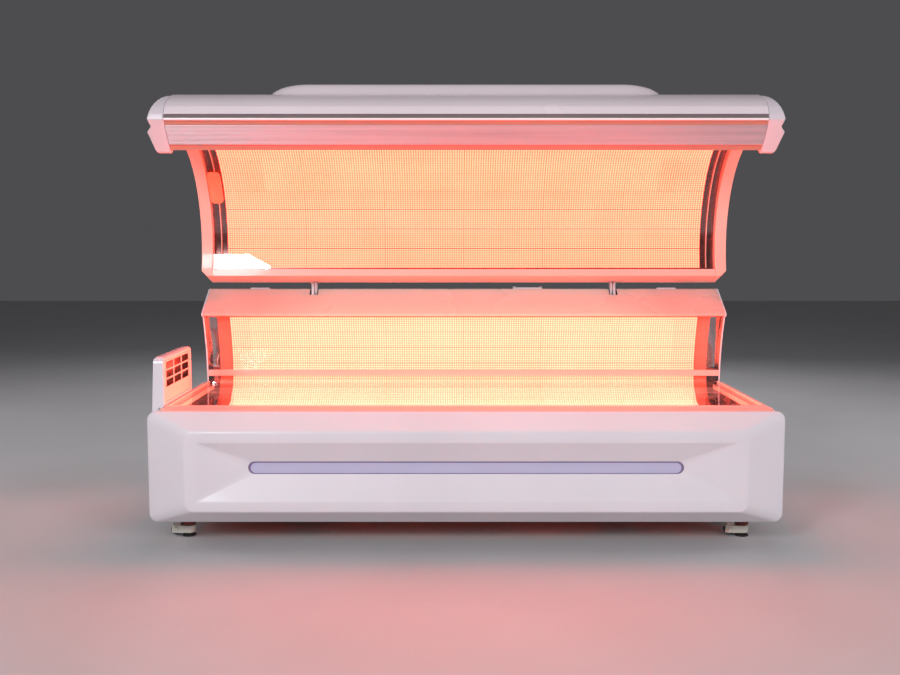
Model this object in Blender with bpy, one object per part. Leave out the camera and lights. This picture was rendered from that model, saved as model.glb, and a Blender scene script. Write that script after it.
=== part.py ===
"""Red light therapy bed: a lit base with a flat acrylic lying sheet, an upstand behind it and a
curved lit canopy that closes over the bed on two hinges. Metres, +Z up, front towards -Y.
Heights are from the floor. Depths are from the front face and are moved back by half the depth
when a piece is made, so that the origin is under the middle of the bed."""

import math

import bmesh
import bpy

for old in list(bpy.data.objects):
    bpy.data.objects.remove(old, do_unlink=True)

# Overall sizes and the gap left between pieces that touch
LENGTH = 2.198
DEPTH = 1.1
HALF = LENGTH / 2
GAP = 0.0003
SHEET = 0.004

# Front panel: a hipped bezel round a raised face, with a hipped recess down to the light slot
PANEL_BOTTOM = 0.086
PANEL_TOP = 0.474
PANEL_BACK = 0.088
BEZEL_DEPTH = 0.060
BEZEL_WIDE = 0.139
BEZEL_FOOT = 0.051
BEZEL_HEAD = 0.064
FACE_HALF = HALF - BEZEL_WIDE
FACE_BOTTOM = PANEL_BOTTOM + BEZEL_FOOT
FACE_TOP = PANEL_TOP - BEZEL_HEAD
FACE_BORDER = 0.035
FACE_BAND = 0.035
RECESS_HALF = FACE_HALF - FACE_BORDER
RECESS_BOTTOM = FACE_BOTTOM + FACE_BAND
RECESS_TOP = FACE_TOP - FACE_BAND + 0.001
RECESS_DEPTH = 0.046
SLOT_INSET = 0.175
SLOT_HIGH = 0.043
SLOT_HALF = RECESS_HALF - SLOT_INSET
SLOT_MID = (RECESS_BOTTOM + RECESS_TOP) / 2 + 0.0063
SLOT_BOTTOM = SLOT_MID - SLOT_HIGH / 2
SLOT_TOP = SLOT_MID + SLOT_HIGH / 2

# Deck rim, acrylic and end walls, each set in from the panel's ends
RIM_INSET = 0.039
RIM_WIDE = 0.024
RIM_THICK = 0.0115
RIM_LIFT = 0.0015
RIM_LAP = 0.030
LEDGE = 0.016
LEDGE_THICK = 0.018
ACRYLIC = 0.010
ACRYLIC_DROP = 0.014
OPEN_FRONT = 0.120
END_INSET = 0.010
END_PLATE = 0.006
RIM_FRONT = PANEL_BACK - RIM_LAP
RIM_HALF = HALF - RIM_INSET
RIM_BOTTOM = PANEL_TOP + RIM_LIFT
RIM_TOP = RIM_BOTTOM + RIM_THICK
OPEN_HALF = RIM_HALF - RIM_WIDE
LEDGE_TOP = RIM_TOP - ACRYLIC_DROP
LEDGE_BOTTOM = LEDGE_TOP - LEDGE_THICK
END_OUTER = RIM_HALF - END_INSET
END_INNER = END_OUTER - END_PLATE
END_BOTTOM = LEDGE_BOTTOM - 0.110
BASE_BOTTOM = PANEL_BOTTOM
COVER = 0.006
COVER_FRONT = DEPTH - COVER
BASE_BACK = COVER_FRONT - GAP

# Upstand: a gentle curve behind the lying sheet, under a sloped header
RAIL_LINE = 0.7475
RAIL_RISE = 0.035
RAIL_TOP = RIM_TOP + RAIL_RISE
UP_EDGE = 0.640
UP_LIP = 0.004
UP_SPACE = 0.040
UP_SHIELD = UP_EDGE + UP_LIP
UP_LED = UP_SHIELD + UP_SPACE
UP_CENTRE = (RAIL_LINE + 0.0075 - UP_EDGE, RIM_TOP - 0.007)
UP_TURN = 25.2
UP_END = (
    UP_CENTRE[0] + UP_EDGE * math.cos(math.radians(UP_TURN)),
    UP_CENTRE[1] + UP_EDGE * math.sin(math.radians(UP_TURN)),
)
NOSE = (UP_END[0] - 0.018, UP_END[1] + 0.0045)
SLOPE_RUN = 0.137
SLOPE_RISE = 0.100
HEADER_EDGE = (NOSE[0] + SLOPE_RUN, NOSE[1] + SLOPE_RISE)
HEADER_BACK = (DEPTH - 0.024, HEADER_EDGE[1] - 0.028)
HEADER_LOW = HEADER_BACK[1] - 0.026

# Canopy hinge and its gas springs
HINGE_BACK = 0.007
HINGE_RISE = 0.038
HINGE = (HEADER_EDGE[0] + HINGE_BACK, HEADER_EDGE[1] + HINGE_RISE)
HINGE_X = 0.607
PLATE = 0.010
PIN_R = 0.010
PIN_FIT = 0.0006
CRANK = 0.100
CRANK_LEAN = math.radians(15.0)
FOOT_R = 0.022
CRANK_HALF = 0.009
PAD_GAP = 0.0032
SPRING_Z = HINGE[1] - 0.092
CYLINDER_FRONT = HINGE[0] + 0.102
FRAME_BACK = COVER_FRONT - 0.023
BEAM = 0.026
BEAM_FRONT = FRAME_BACK - BEAM

# Canopy in its open position, round the middle of the tunnel
CHEEK_R = 0.394
CHEEK_BACK = 0.110
SHIELD_STEP = 0.006
LED_STEP = 0.0255
BOARD = 0.003
TRAY = 0.004
SHELL_STEP = 0.106
HOOD_HIGH = 0.057
CHEEK_WIDE = 0.045
LED_MARGIN = 0.054
TUNNEL = (HINGE[0] - CHEEK_BACK - CHEEK_R, HINGE[1] + 0.152)
SHIELD_R = CHEEK_R + SHIELD_STEP
LED_R = SHIELD_R + LED_STEP
TRAY_R = LED_R + BOARD + 0.0005
SHELL_R = TRAY_R + SHELL_STEP
HOOD_R = SHELL_R + HOOD_HIGH
CHEEK_OUTER = END_OUTER
CHEEK_INNER = CHEEK_OUTER - CHEEK_WIDE
LED_HALF = CHEEK_INNER - LED_MARGIN


def round_tunnel(out, turn):
    """A point of the canopy's section: its distance from the cheeks' inner edge, and its angle."""
    t = math.radians(turn)
    return (TUNNEL[0] + (CHEEK_R + out) * math.cos(t), TUNNEL[1] + (CHEEK_R + out) * math.sin(t))


LIP = round_tunnel(0.0643, 111.639)
LIP_LOW = round_tunnel(-0.0612, 104.621)
RAIL_FRONT = round_tunnel(-0.0003, -19.126)
RAIL_BACK = round_tunnel(0.1063, -18.652)

# Side vent on the deck's left end
VENT_LONG = 0.391
VENT_HIGH = 0.171
VENT_SET = 0.014
VENT_OUT = 0.028
VENT_FRONT = PANEL_BACK + 0.001
VENT_BACK = VENT_FRONT + VENT_LONG
VENT_TOP = RIM_TOP + VENT_HIGH
VENT_INNER = RIM_HALF - VENT_SET
VENT_OUTER = RIM_HALF + VENT_OUT
ROTOR_R = 0.0115
ROTOR_X = VENT_INNER + 0.0165
ROTOR_Z = VENT_TOP - 0.088

# Base frame and levelling casters
TUBE = 0.040
FRAME_INSET = 0.030
FRAME_HALF = RIM_HALF - FRAME_INSET
FRAME_FRONT = PANEL_BACK + 0.007
FRAME_TOP = BASE_BOTTOM + TUBE
FLOOR_BACK = FRAME_BACK - 0.071
FRAME_BOTTOM = BASE_BOTTOM - 0.016
CASTER_X = FRAME_HALF - 0.034
CASTER_FRONT = FRAME_FRONT + 0.103
CASTER_BACK = FLOOR_BACK - 0.010
WHEEL_OFFSET = 0.043
WHEEL_R = 0.0205
WHEEL_Z = WHEEL_R + 0.0035
SPINDLE_R = 0.008

# Fans
FAN_SIDE = 0.120
FAN_DEEP = 0.025
FAN_BORE = 0.057
BLADE_R = 0.054
HUB_R = 0.021
HUB_SEAT = 0.0065
REAR_FAN_X = 0.270
REAR_FAN_Z = 0.420
CANOPY_FAN_ANGLE = math.radians(58.0)
CANOPY_FAN_R = TRAY_R + 0.039

# Finishes: colour, metallic, roughness, transmission, light given off
WHITE = ((0.86, 0.84, 0.87), 0.0, 0.18, 0.0, 0.0)
STEEL = ((0.45, 0.46, 0.48), 0.6, 0.45, 0.0, 0.0)
BLACK = ((0.03, 0.03, 0.03), 0.0, 0.5, 0.0, 0.0)
ALUMINIUM = ((0.78, 0.78, 0.80), 1.0, 0.3, 0.0, 0.0)
MIRROR = ((0.85, 0.85, 0.87), 1.0, 0.06, 0.0, 0.0)
CLEAR = ((0.95, 0.97, 0.98), 0.0, 0.03, 1.0, 0.0)
LIT = ((1.0, 0.55, 0.25), 0.0, 0.5, 0.0, 3.0)
GLOW = ((0.62, 0.58, 0.85), 0.0, 0.4, 0.0, 1.0)
IVORY = ((0.80, 0.77, 0.68), 0.0, 0.4, 0.0, 0.0)
CORAL = ((0.95, 0.30, 0.22), 0.0, 0.4, 0.0, 0.0)


def material_of(name, finish):
    colour, metallic, roughness, transmission, light = finish
    made = bpy.data.materials.new(name + "_finish")
    made.use_nodes = True
    shader = made.node_tree.nodes["Principled BSDF"]
    shader.inputs["Base Color"].default_value = (*colour, 1.0)
    shader.inputs["Metallic"].default_value = metallic
    shader.inputs["Roughness"].default_value = roughness
    shader.inputs["Transmission Weight"].default_value = transmission
    if light:
        shader.inputs["Emission Color"].default_value = (*colour, 1.0)
        shader.inputs["Emission Strength"].default_value = light
    return made


def mesh_of(name, pieces, pivot=(0.0, 0.0, 0.0)):
    """One mesh from one or more (points, faces), about the pivot, with its faces turned outwards."""
    points = []
    faces = []
    for piece_points, piece_faces in pieces:
        first = len(points)
        points += [(x - pivot[0], y - pivot[1], z - pivot[2]) for x, y, z in piece_points]
        faces += [[first + i for i in face] for face in piece_faces]
    mesh = bpy.data.meshes.new(name)
    mesh.from_pydata(points, [], faces)
    work = bmesh.new()
    work.from_mesh(mesh)
    bmesh.ops.recalc_face_normals(work, faces=work.faces)
    work.to_mesh(mesh)
    work.free()
    return mesh


def piece(name, shape, finish, pivot=(0.0, 0.0, 0.0)):
    """A named sub-part. The pivot is a point on its joint's axis, in depth and height."""
    mesh = mesh_of(name, [shape], pivot)
    made = bpy.data.objects.new(name, mesh)
    made.location = (pivot[0], pivot[1] - DEPTH / 2, pivot[2])
    made.data.materials.append(material_of(name, finish))
    bpy.context.collection.objects.link(made)
    return made


def shaped_by(made, shapes, operation):
    """Cuts, joins or trims a sub-part with hidden helper shapes."""
    helper = bpy.data.objects.new(made.name + "_" + operation.lower(), mesh_of("helper", shapes))
    helper.location = (0.0, -DEPTH / 2, 0.0)
    helper.hide_render = True
    helper.display_type = "WIRE"
    bpy.context.collection.objects.link(helper)
    step = made.modifiers.new(operation.lower(), "BOOLEAN")
    step.operation = operation
    step.solver = "EXACT"
    step.object = helper


def prism(outline, low, high, axis):
    """A closed outline pushed along an axis. Along x it is in (depth, height), along y (x, height),
    along z (x, depth)."""
    count = len(outline)

    def at(pair, along):
        if axis == "x":
            return (along, pair[0], pair[1])
        if axis == "y":
            return (pair[0], along, pair[1])
        return (pair[0], pair[1], along)

    points = [at(pair, low) for pair in outline] + [at(pair, high) for pair in outline]
    sides = [[i, (i + 1) % count, count + (i + 1) % count, count + i] for i in range(count)]
    return points, sides + [list(range(count)), list(range(count, 2 * count))]


def box(x0, x1, y0, y1, z0, z1):
    return prism([(y0, z0), (y1, z0), (y1, z1), (y0, z1)], x0, x1, "x")


def arc(centre, radius, start, end, count):
    """Points of an arc, its angles in degrees."""
    turns = [math.radians(start + (end - start) * i / count) for i in range(count + 1)]
    return [(centre[0] + radius * math.cos(t), centre[1] + radius * math.sin(t)) for t in turns]


def disc(centre, radius, count=24):
    return arc(centre, radius, 0.0, 360.0, count)[:-1]


def strip(line, thickness):
    """The outline of a sheet that follows a line, its thickness added on the line's left side."""
    other = []
    for i, (a, b) in enumerate(line):
        before = line[max(i - 1, 0)]
        after = line[min(i + 1, len(line) - 1)]
        first = math.atan2(b - before[1], a - before[0]) if i else None
        second = math.atan2(after[1] - b, after[0] - a) if i < len(line) - 1 else None
        first = second if first is None else first
        second = first if second is None else second
        bend = (second - first + math.pi) % (2 * math.pi) - math.pi
        along = first + bend / 2
        reach = thickness / math.cos(bend / 2)
        other.append((a - reach * math.sin(along), b + reach * math.cos(along)))
    return line + other[::-1]


def smooth(points, steps):
    """A curve through every point."""
    line = []
    ends = [points[0]] + points + [points[-1]]
    for p, q, r, s in zip(ends, ends[1:], ends[2:], ends[3:]):
        for i in range(steps):
            t = i / steps
            line.append(
                tuple(
                    0.5
                    * (
                        2 * b
                        + (c - a) * t
                        + (2 * a - 5 * b + 4 * c - d) * t * t
                        + (3 * b - a - 3 * c + d) * t * t * t
                    )
                    for a, b, c, d in zip(p, q, r, s)
                )
            )
    return line + [points[-1]]


def mirrored(shape):
    points, faces = shape
    return [(-x, y, z) for x, y, z in points], [face[::-1] for face in faces]


def rounded(half, low, high, radius, depth, corner=5):
    """A rounded rectangle in the front view, at one depth."""
    centres = [(half - radius, high - radius, 0.0), (-half + radius, high - radius, 90.0)]
    centres += [(-half + radius, low + radius, 180.0), (half - radius, low + radius, 270.0)]
    ring = []
    for x, z, turn in centres:
        ring += [(a, depth, b) for a, b in arc((x, z), radius, turn, turn + 90.0, corner)]
    return ring


def skin(rings):
    """The open surface through rings of the same number of points."""
    count = len(rings[0])
    points = [point for ring in rings for point in ring]
    faces = []
    for level in range(len(rings) - 1):
        for i in range(count):
            j = (i + 1) % count
            faces.append(
                [level * count + i, level * count + j, (level + 1) * count + j, (level + 1) * count + i]
            )
    return points, faces


def thickened(made, thickness, side):
    step = made.modifiers.new("thickness", "SOLIDIFY")
    step.thickness = thickness
    step.offset = side
    step.use_even_offset = True


# Base frame: a floor ladder with caster plates, a rear ladder and the two hinge posts
POST_FRONT = HINGE[0] + 0.022
POST_BACK = POST_FRONT + TUBE
POST_TOP = HINGE[1] - 0.160
POST_X = (HINGE_X - PLATE / 2 - GAP - TUBE, HINGE_X - PLATE / 2 - GAP)
BEAM_TOP = SPRING_Z + 0.003
base_frame = piece(
    "base_frame",
    box(-FRAME_HALF, FRAME_HALF, FRAME_FRONT, FRAME_BACK, BASE_BOTTOM, FRAME_TOP),
    STEEL,
)
BAY_EDGES = (TUBE / 2, POST_X[0] - TUBE, POST_X[1] + TUBE / 2, FRAME_HALF - TUBE)
floor_bays = [(-BAY_EDGES[3], -BAY_EDGES[2]), (-BAY_EDGES[1], -BAY_EDGES[0])]
floor_bays += [(BAY_EDGES[0], BAY_EDGES[1]), (BAY_EDGES[2], BAY_EDGES[3])]
shaped_by(
    base_frame,
    [
        box(a, b, front, back, BASE_BOTTOM - 0.01, FRAME_TOP + 0.01)
        for a, b in floor_bays
        for front, back in ((FRAME_FRONT + TUBE, POST_FRONT), (POST_BACK, FLOOR_BACK))
    ],
    "DIFFERENCE",
)
shaped_by(
    base_frame, [box(-FRAME_HALF, FRAME_HALF, BEAM_FRONT, FRAME_BACK, BASE_BOTTOM + 0.014, BEAM_TOP)], "UNION"
)
shaped_by(
    base_frame,
    [
        box(a, b, BEAM_FRONT - 0.01, FRAME_BACK + 0.01, FRAME_TOP + 0.044, BEAM_TOP - 0.066)
        for a, b in floor_bays
    ],
    "DIFFERENCE",
)
POST_SIDE = [(POST_FRONT, BASE_BOTTOM + 0.024), (POST_BACK, BASE_BOTTOM + 0.024)]
POST_SIDE += [(POST_BACK, POST_TOP - 2 * TUBE), (BEAM_FRONT + 0.010, POST_TOP - 2 * TUBE)]
POST_SIDE += [(BEAM_FRONT + 0.010, POST_TOP - TUBE), (POST_BACK, POST_TOP - TUBE)]
POST_SIDE += [(POST_BACK, POST_TOP), (POST_FRONT, POST_TOP)]
shaped_by(
    base_frame,
    [prism(POST_SIDE, *POST_X, "x"), prism(POST_SIDE, -POST_X[1], -POST_X[0], "x")],
    "UNION",
)
CASTER_SPOTS = {
    "front_left": (-CASTER_X, CASTER_FRONT),
    "front_right": (CASTER_X, CASTER_FRONT),
    "rear_left": (-CASTER_X, CASTER_BACK),
    "rear_right": (CASTER_X, CASTER_BACK),
}
shaped_by(
    base_frame,
    [
        box(x - 0.032, x + 0.032, y - 0.026, y + 0.026, FRAME_BOTTOM, BASE_BOTTOM + 0.014)
        for x, y in CASTER_SPOTS.values()
    ],
    "UNION",
)

# Levelling casters: a swivelling body, its wheel, and a screw pad with its thumbwheel
RACE_LOW = FRAME_BOTTOM - 0.0058
DIAL_HIGH = RACE_LOW - 0.0048
DIAL_LOW = DIAL_HIGH - 0.009
BODY_HIGH = DIAL_LOW - 0.0014
BODY_LOW = 0.014
BODY_R = 0.0255
HEEL_R = 0.0205
POCKET_HALF = 0.0105
WHEEL_HALF = POCKET_HALF - 0.0015
PAD_R = 0.0245
PAD_TRAVEL = 0.004
PAD_HIGH = BODY_LOW - PAD_TRAVEL - 0.0005
AXLE_R = 0.004
for place, (x, y) in CASTER_SPOTS.items():
    outline = arc((x, y), BODY_R, -90.0, 90.0, 10)
    outline += arc((x - WHEEL_OFFSET, y), HEEL_R, 90.0, 270.0, 10)
    body = piece("caster_body_" + place, prism(outline, BODY_LOW, BODY_HIGH, "z"), IVORY, (x, y, 0.0))
    neck_back = x - WHEEL_OFFSET - 0.013
    neck = box(neck_back, neck_back + 0.028, y - 0.014, y + 0.014, BODY_HIGH - 0.004, RACE_LOW + 0.003)
    race = prism(disc((x, y), 0.029), RACE_LOW, FRAME_BOTTOM - GAP, "z")
    shaped_by(body, [neck], "UNION")
    shaped_by(body, [race], "UNION")
    arch = arc((x - WHEEL_OFFSET, WHEEL_Z), WHEEL_R + 0.002, 0.0, 180.0, 12)
    arch += [(arch[-1][0], 0.0), (arch[0][0], 0.0)]
    pocket = prism(arch, y - POCKET_HALF, y + POCKET_HALF, "y")
    bore = prism(disc((x, y), SPINDLE_R + 0.0006), 0.0, BODY_HIGH + 0.01, "z")
    shaped_by(body, [pocket], "DIFFERENCE")
    shaped_by(body, [bore], "DIFFERENCE")
    axle_hole = prism(disc((x - WHEEL_OFFSET, WHEEL_Z), AXLE_R + 0.0005, 16), y - 0.03, y + 0.03, "y")
    shaped_by(body, [axle_hole], "DIFFERENCE")
    axle_at = (x - WHEEL_OFFSET, y, WHEEL_Z)
    wheel = piece(
        "caster_wheel_" + place,
        prism(disc((x - WHEEL_OFFSET, WHEEL_Z), WHEEL_R), y - WHEEL_HALF, y + WHEEL_HALF, "y"),
        BLACK,
        axle_at,
    )
    axle_half = HEEL_R - 0.001
    axle = prism(disc((x - WHEEL_OFFSET, WHEEL_Z), AXLE_R, 16), y - axle_half, y + axle_half, "y")
    shaped_by(wheel, [axle], "UNION")
    turned = [(PAD_R - 0.002, 0.0), (PAD_R, 0.002), (PAD_R, PAD_HIGH - 0.004), (PAD_R - 0.0055, PAD_HIGH - 0.001)]
    turned += [(SPINDLE_R, PAD_HIGH), (SPINDLE_R, DIAL_LOW), (PAD_R, DIAL_LOW), (PAD_R, DIAL_HIGH)]
    turned += [(SPINDLE_R, DIAL_HIGH)]
    rings = [[(*p, z) for p in disc((x, y), r)] for r, z in turned]
    side_points, side_faces = skin(rings)
    ends = [list(range(24)), list(range(len(side_points) - 24, len(side_points)))]
    piece("caster_pad_" + place, (side_points, side_faces + ends), BLACK, (x, y, 0.0))

# Front panel with its light
front_panel = piece(
    "front_panel",
    skin(
        [
            rounded(HALF - 0.004, PANEL_BOTTOM + 0.002, PANEL_TOP - 0.002, 0.026, PANEL_BACK),
            rounded(HALF, PANEL_BOTTOM, PANEL_TOP, 0.030, BEZEL_DEPTH + 0.010),
            rounded(HALF - 0.001, PANEL_BOTTOM + 0.0005, PANEL_TOP - 0.001, 0.030, BEZEL_DEPTH),
            rounded(HALF - 0.006, PANEL_BOTTOM + 0.003, PANEL_TOP - 0.006, 0.028, BEZEL_DEPTH - 0.005),
            rounded(FACE_HALF + 0.006, FACE_BOTTOM - 0.004, FACE_TOP + 0.004, 0.034, 0.003),
            rounded(FACE_HALF, FACE_BOTTOM, FACE_TOP, 0.032, 0.0),
            rounded(RECESS_HALF, RECESS_BOTTOM, RECESS_TOP, 0.012, 0.0),
            rounded(RECESS_HALF - 0.010, RECESS_BOTTOM + 0.004, RECESS_TOP - 0.003, 0.012, 0.002),
            rounded(SLOT_HALF, SLOT_BOTTOM, SLOT_TOP, 0.0214, RECESS_DEPTH),
        ]
    ),
    WHITE,
)
thickened(front_panel, SHEET, -1.0)
LENS_FIT = 0.0006
lens = rounded(SLOT_HALF - LENS_FIT, SLOT_BOTTOM + LENS_FIT, SLOT_TOP - LENS_FIT, 0.0206, 0.0)
flange = rounded(SLOT_HALF + 0.006, SLOT_BOTTOM - 0.006, SLOT_TOP + 0.006, 0.026, 0.0)
diffuser = piece(
    "front_light_diffuser",
    prism([(x, z) for x, _, z in lens], RECESS_DEPTH + 0.001, RECESS_DEPTH + 0.012, "y"),
    GLOW,
)
BAR_FRONT = RECESS_DEPTH + 0.0125
shaped_by(
    diffuser, [prism([(x, z) for x, _, z in flange], RECESS_DEPTH + 0.008, BAR_FRONT, "y")], "UNION"
)
light_bar = piece(
    "front_light_bar",
    box(
        -SLOT_HALF - 0.015,
        SLOT_HALF + 0.015,
        BAR_FRONT + GAP,
        FRAME_FRONT - 0.0005,
        SLOT_BOTTOM - 0.012,
        SLOT_TOP + 0.012,
    ),
    ALUMINIUM,
)
shaped_by(
    light_bar,
    [
        box(
            -SLOT_HALF - 0.005,
            SLOT_HALF + 0.005,
            BAR_FRONT - 0.04,
            FRAME_FRONT - 0.015,
            SLOT_BOTTOM - 0.004,
            SLOT_TOP + 0.004,
        )
    ],
    "DIFFERENCE",
)
BRACE = SLOT_HALF + 0.030
BRACE_FRONT = FRAME_FRONT - 0.011
BRACE_BACK = FRAME_FRONT - GAP
shaped_by(
    light_bar,
    [box(-BRACE, BRACE, BRACE_FRONT, BRACE_BACK, FRAME_TOP - 0.016, SLOT_TOP + 0.010)],
    "UNION",
)
shaped_by(
    light_bar,
    [
        box(
            0.005 - BRACE,
            BRACE - 0.005,
            BRACE_FRONT + 0.001,
            FRAME_FRONT + TUBE + 0.005,
            FRAME_TOP + GAP,
            FRAME_TOP + 0.0033,
        )
    ],
    "UNION",
)

# Deck rim: an upright frame, open at the back, with a ledge for the acrylic
def deck(half_out, half_in, front, inner, back, low, high):
    outline = [(-half_out, front), (half_out, front), (half_out, back), (half_in, back)]
    outline += [(half_in, inner), (-half_in, inner), (-half_in, back), (-half_out, back)]
    return prism(outline, low, high, "z")


deck_rim = piece(
    "deck_rim",
    deck(RIM_HALF, OPEN_HALF, RIM_FRONT, OPEN_FRONT, RAIL_LINE - 0.0005, RIM_BOTTOM, RIM_TOP),
    WHITE,
)
RAIL_FOOT = RAIL_LINE - 0.0155
SKIRT_BACK = RAIL_FOOT - 0.0006
SKIRT_TOP = RIM_TOP - 0.006
skirt = deck(
    RIM_HALF - 0.001,
    OPEN_HALF + 0.0004,
    PANEL_BACK + 0.0013,
    OPEN_FRONT - 0.0004,
    SKIRT_BACK,
    LEDGE_BOTTOM,
    SKIRT_TOP,
)
shaped_by(deck_rim, [skirt], "UNION")
shaped_by(
    deck_rim,
    [
        deck(
            RIM_HALF - 0.002,
            OPEN_HALF - LEDGE,
            PANEL_BACK + 0.0017,
            OPEN_FRONT + LEDGE,
            SKIRT_BACK - 0.0004,
            LEDGE_BOTTOM + 0.0004,
            LEDGE_TOP,
        )
    ],
    "UNION",
)
piece(
    "acrylic_bed",
    box(
        -OPEN_HALF + 0.0008,
        OPEN_HALF - 0.0008,
        OPEN_FRONT + 0.0008,
        RAIL_LINE - GAP,
        LEDGE_TOP + GAP,
        LEDGE_TOP + GAP + ACRYLIC,
    ),
    CLEAR,
)

# Ends: formed covers outside, and flat plates that close the light box and cap the header
SIDE_HALF = HALF - 0.004
side = [(RIM_HALF + GAP + SHEET, PANEL_TOP + 0.005), (SIDE_HALF - 0.0005, PANEL_TOP - 0.030)]
side += [(SIDE_HALF, BASE_BOTTOM + 0.039), (SIDE_HALF - 0.012, BASE_BOTTOM)]
cover = prism(strip(side, -SHEET), PANEL_BACK + GAP, BASE_BACK, "y")
piece("right_side_panel", cover, WHITE)
piece("left_side_panel", mirrored(cover), WHITE)
edge = arc(UP_CENTRE, UP_EDGE, -1.9, UP_TURN, 12)
END_FRONT = OPEN_FRONT + 0.010
HEADER_CORNER = (DEPTH - 0.004, HEADER_BACK[1] - 0.011)
END_LINE = [(END_FRONT, END_BOTTOM), (BASE_BACK, END_BOTTOM), (BASE_BACK, HEADER_CORNER[1])]
END_LINE += [HEADER_BACK, (HEADER_EDGE[0] + 0.015, HEADER_EDGE[1] + 0.0035), HEADER_EDGE]
END_LINE += [(NOSE[0] - 0.002, NOSE[1] + 0.011), NOSE]
END_LINE += edge[::-1] + [(RAIL_LINE + 0.0065, LEDGE_BOTTOM - 0.001), (END_FRONT, LEDGE_BOTTOM - 0.001)]
plate = prism(END_LINE, END_INNER, END_OUTER, "x")
piece("right_end_panel", plate, MIRROR)
piece("left_end_panel", mirrored(plate), MIRROR)

# Light box under the sheet and up the back
LED_FRONT = OPEN_FRONT + 0.018
LED_BACK = UP_CENTRE[0] + UP_LED - 0.009
LED_MID = (LED_FRONT + LED_BACK) / 2 - 0.009
LED_LINE = smooth(
    [
        (LED_FRONT, LEDGE_BOTTOM - 0.027),
        (LED_FRONT + 0.087, LEDGE_BOTTOM - 0.063),
        (LED_MID - 0.065, LEDGE_BOTTOM - 0.083),
        (LED_MID + 0.065, LEDGE_BOTTOM - 0.083),
        (LED_BACK - 0.110, LEDGE_BOTTOM - 0.067),
        (LED_BACK - 0.034, LEDGE_BOTTOM - 0.031),
        (LED_BACK, LEDGE_BOTTOM + 0.025),
    ],
    4,
)
LED_LINE += arc(UP_CENTRE, UP_LED, 2.0, 23.2, 8)[1:]
BED_POINTS = 23
bed_line = LED_LINE[1:BED_POINTS]
back_line = LED_LINE[BED_POINTS + 1 :]
piece("bed_led_boards", prism(strip(bed_line, -BOARD), -LED_HALF, LED_HALF, "x"), LIT)
piece("back_led_boards", prism(strip(back_line, -BOARD), -LED_HALF, LED_HALF, "x"), LIT)
tray_line = [strip(LED_LINE, -BOARD - GAP)[::-1][i] for i in range(len(LED_LINE))]
piece(
    "lower_led_tray",
    prism(strip(tray_line, -0.003), -END_INNER + GAP, END_INNER - GAP, "x"),
    ALUMINIUM,
)
shield = arc(UP_CENTRE, UP_SHIELD, 3.95, 24.6, 8)
piece(
    "back_shield",
    prism(strip(shield, -0.004), -END_INNER + GAP, END_INNER - GAP, "x"),
    CLEAR,
)
RAIL_BASE = LEDGE_TOP - 0.009
RAIL_REAR = RAIL_LINE + 0.0165
RAIL_SECTION = [(RAIL_FOOT, RAIL_BASE), (RAIL_REAR, RAIL_BASE), (RAIL_REAR, RAIL_TOP)]
RAIL_SECTION += [(RAIL_LINE, RAIL_TOP), (RAIL_LINE, LEDGE_TOP), (RAIL_FOOT, LEDGE_TOP)]
piece("shield_rail", prism(RAIL_SECTION, -END_INNER + GAP, END_INNER - GAP, "x"), ALUMINIUM)

# Header over the upstand, with slots for the hinges
header_line = [(NOSE[0] + 0.072, NOSE[1] - 0.0015), (NOSE[0] + 0.010, NOSE[1] - 0.0015)]
header_line += [(NOSE[0] - 0.0015, NOSE[1] + 0.003), (NOSE[0] - 0.003, NOSE[1] + 0.010)]
header_line += [(HEADER_EDGE[0] - 0.008, HEADER_EDGE[1] - 0.006)]
header_line += [(HEADER_EDGE[0] + 0.001, HEADER_EDGE[1] + 0.0005)]
header_line += [(HEADER_EDGE[0] + 0.017, HEADER_EDGE[1] + 0.003)]
header_line += [HEADER_BACK, HEADER_CORNER, (DEPTH - 0.0003, HEADER_LOW)]
rear_header = piece(
    "rear_header",
    prism(strip(header_line, -SHEET), -END_INNER + GAP, END_INNER - GAP, "x"),
    WHITE,
)
SLOT = (HINGE_X - PLATE / 2 - 0.005, HINGE_X + 1.5 * PLATE + 0.009)
SLOT_DEEP = (HINGE[0] - 0.036, HINGE[0] + 0.070)
shaped_by(
    rear_header,
    [
        box(*SLOT, *SLOT_DEEP, HINGE[1] - 0.075, HINGE[1] + 0.005),
        box(-SLOT[1], -SLOT[0], *SLOT_DEEP, HINGE[1] - 0.075, HINGE[1] + 0.005),
    ],
    "DIFFERENCE",
)

# Rear cover with its vents
COVER_HALF = SIDE_HALF - 0.005
COVER_TOP = HEADER_LOW - 0.0015
right_side = [(COVER_HALF, BASE_BOTTOM), (COVER_HALF, PANEL_TOP - 0.034)]
right_side += [(END_OUTER + 0.008, PANEL_TOP + 0.002), (END_OUTER, PANEL_TOP + 0.006), (END_OUTER, COVER_TOP)]
rear_outline = right_side + [(-x, z) for x, z in right_side[::-1]]
rear_panel = piece("rear_panel", prism(rear_outline, COVER_FRONT, DEPTH, "y"), WHITE)
LUG = END_INNER - 0.010
shaped_by(
    rear_panel,
    [box(-LUG, LUG, FRAME_BACK + 0.0005 + GAP, COVER_FRONT + 0.002, BEAM_TOP - 0.061, BEAM_TOP - 0.026)],
    "UNION",
)
slots = [
    box(x - 0.090, x + 0.090, COVER_FRONT - 0.01, DEPTH + 0.01, z - 0.006, z + 0.006)
    for x in (-0.80, -REAR_FAN_X, REAR_FAN_X, 0.80)
    for z in [REAR_FAN_Z + 0.030 * i for i in range(-2, 3)]
]
shaped_by(rear_panel, slots, "DIFFERENCE")
INLET = (0.455, 0.20)
SWITCH = (INLET[0] - 0.047, INLET[1])
WELL = (DEPTH - 0.0265, DEPTH + 0.02)
MODULE = (SWITCH[0] - 0.018, INLET[0] + 0.021)
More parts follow.
